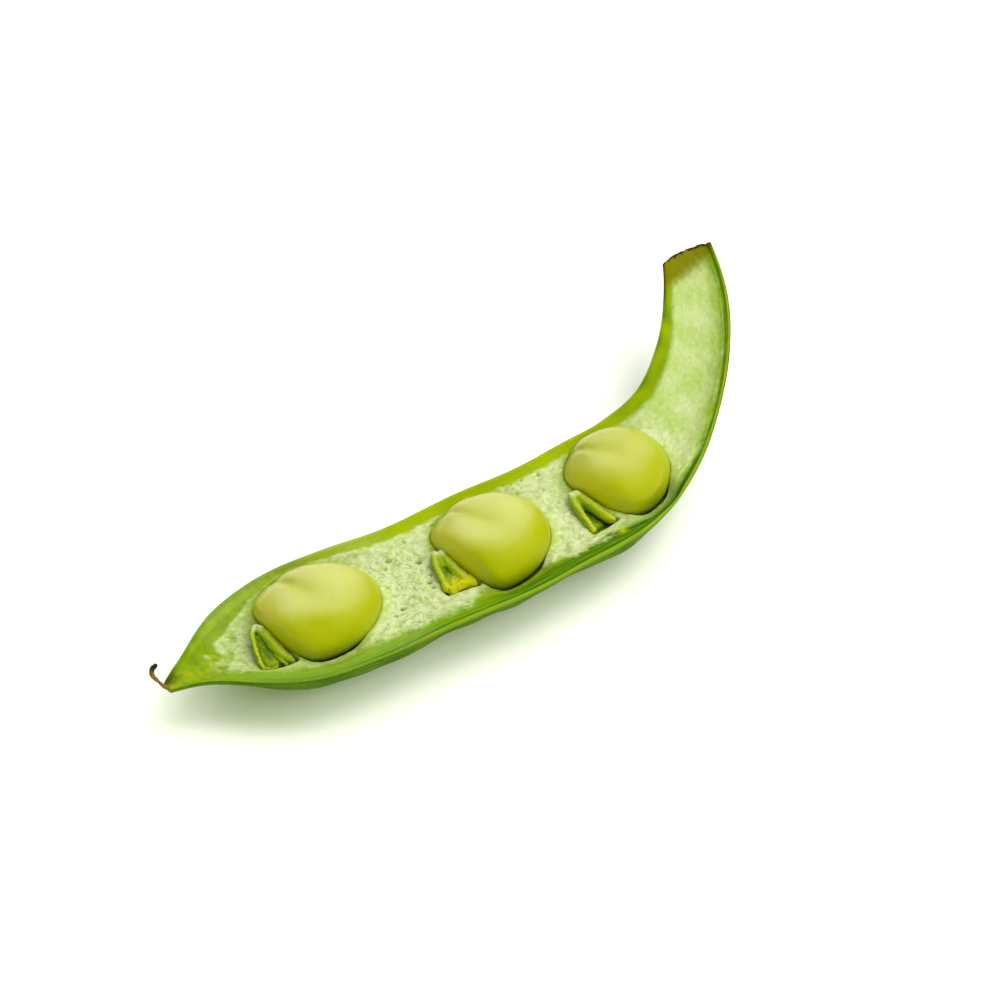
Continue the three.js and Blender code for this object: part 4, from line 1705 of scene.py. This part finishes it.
@dataclass
class Studio:
    """A white table under large soft lights, and the camera."""

    look_at: tuple[float, float] = (7.42, 8.57)
    azimuth: float = 42.0
    elevation: float = 50.0
    distance: float = 393.0
    lens: float = 85.0
    sensor: float = 36.0
    lights: tuple[SoftLight, ...] = (
        SoftLight("back", 6.0, 50.0, (1900.0, 1700.0), 13.5, mirrored=True),
        SoftLight("top", 45.0, 68.0, (700.0, 700.0), 5.0),
        SoftLight("side", 105.0, 52.0, (900.0, 900.0), 6.8),
        SoftLight("fill", 175.0, 20.0, (700.0, 700.0), 5.0, colour="#ecffb8"),
    )
    light_distance: float = 1000.0
    floor_half: float = 520.0
    floor_colour: tuple[float, float, float, float] = (0.93, 0.93, 0.93, 1.0)
    world_colour: str = "#d4f05c"
    world_strength: float = 0.17

    def build(self) -> None:
        """Sets up the floor, the lights, the camera and the view colours."""
        self.floor()
        for light in self.lights:
            self.hang(light)
        self.world()
        self.camera()
        settings = bpy.context.scene.view_settings
        settings.view_transform = "Standard"
        settings.look = "None"

    def outward(self, azimuth: float, elevation: float) -> Vector:
        """Finds the direction from the object to a place round it.

        Args:
            azimuth: Degrees clockwise from straight behind the object, seen from the camera.
            elevation: Degrees over the floor.

        Returns:
            A unit direction.
        """
        turn = math.radians(90 - self.azimuth - azimuth)
        lift = math.radians(elevation)
        return Vector((math.cos(turn) * math.cos(lift), math.sin(turn) * math.cos(lift), math.sin(lift)))

    def aim(self, thing: bpy.types.Object, outward: Vector, distance: float) -> None:
        """Sets a light or the camera outward of the point that the camera looks at, facing it."""
        thing.location = Vector([place * MM for place in (*self.look_at, 0.0)]) + outward * distance * MM
        thing.rotation_euler = outward.to_track_quat("Z", "Y").to_euler()

    def hang(self, light: SoftLight) -> None:
        """Hangs a soft light, facing the object.

        Args:
            light: The light.
        """
        data = bpy.data.lights.new(light.name, "AREA")
        data.shape = "RECTANGLE"
        data.size, data.size_y = light.size[0] * MM, light.size[1] * MM
        data.energy = light.power
        data.color = linear(light.colour)[:3]
        lamp = linked(light.name, data)
        lamp.visible_glossy = light.mirrored
        self.aim(lamp, self.outward(light.azimuth, light.elevation), self.light_distance)

    def camera(self) -> None:
        """Makes the camera and sets it as the scene's."""
        data = bpy.data.cameras.new("camera")
        data.lens = self.lens
        data.sensor_width = self.sensor
        data.clip_start = 0.01
        data.clip_end = 20.0
        camera = linked("camera", data)
        backward = -self.outward(0.0, 0.0) * math.cos(math.radians(self.elevation))
        backward.z = math.sin(math.radians(self.elevation))
        self.aim(camera, backward, self.distance)
        bpy.context.scene.camera = camera

    def floor(self) -> None:
        """Lays the white floor."""
        corners = np.array([(-1, -1, 0), (1, -1, 0), (1, 1, 0), (-1, 1, 0)]) * self.floor_half
        piece = new_piece("floor", corners, [(0, 1, 2, 3)])
        piece.data.materials.append(Coat("white_table").finished({
            "Base Color": self.floor_colour, "Roughness": 0.9, "Specular IOR Level": 0.0,
        }))

    def world(self) -> None:
        """Fills the room with faint green light and shows a white wall behind the table."""
        world = bpy.data.worlds.new("studio")
        world.use_nodes = True
        tree = world.node_tree
        tree.nodes.clear()
        glow = add(tree, "ShaderNodeBackground", {
            "Color": self.world_colour, "Strength": self.world_strength,
        })
        wall = add(tree, "ShaderNodeBackground", {"Color": "#ffffff", "Strength": 1.0})
        seen = add(tree, "ShaderNodeLightPath").outputs["Is Camera Ray"]
        both = add(tree, "ShaderNodeMixShader", {0: seen, 1: glow, 2: wall})
        add(tree, "ShaderNodeOutputWorld", {"Surface": both})
        bpy.context.scene.world = world


def main() -> None:
    """Builds the studio, then each piece of the pod in order."""
    logging.basicConfig(level=logging.INFO, format="%(message)s")
    Studio().build()
    course = PodCourse()
    shell = PodWall(course).build()
    LiningWool(shell).build()
    seed_coat = SeedCoatFinish().material()
    stalk_flesh = SeedStalkFinish().material()
    for index, (seat, plan) in enumerate(zip(BEAN_SEATS, STALK_PLANS), start=1):
        Bean(course, seat, f"bean_{index}").build(seed_coat)
        SeedStalk(course, plan, f"funicle_{index}").build(stalk_flesh)
    DriedStyle(course).build()


if __name__ == "__main__":
    main()
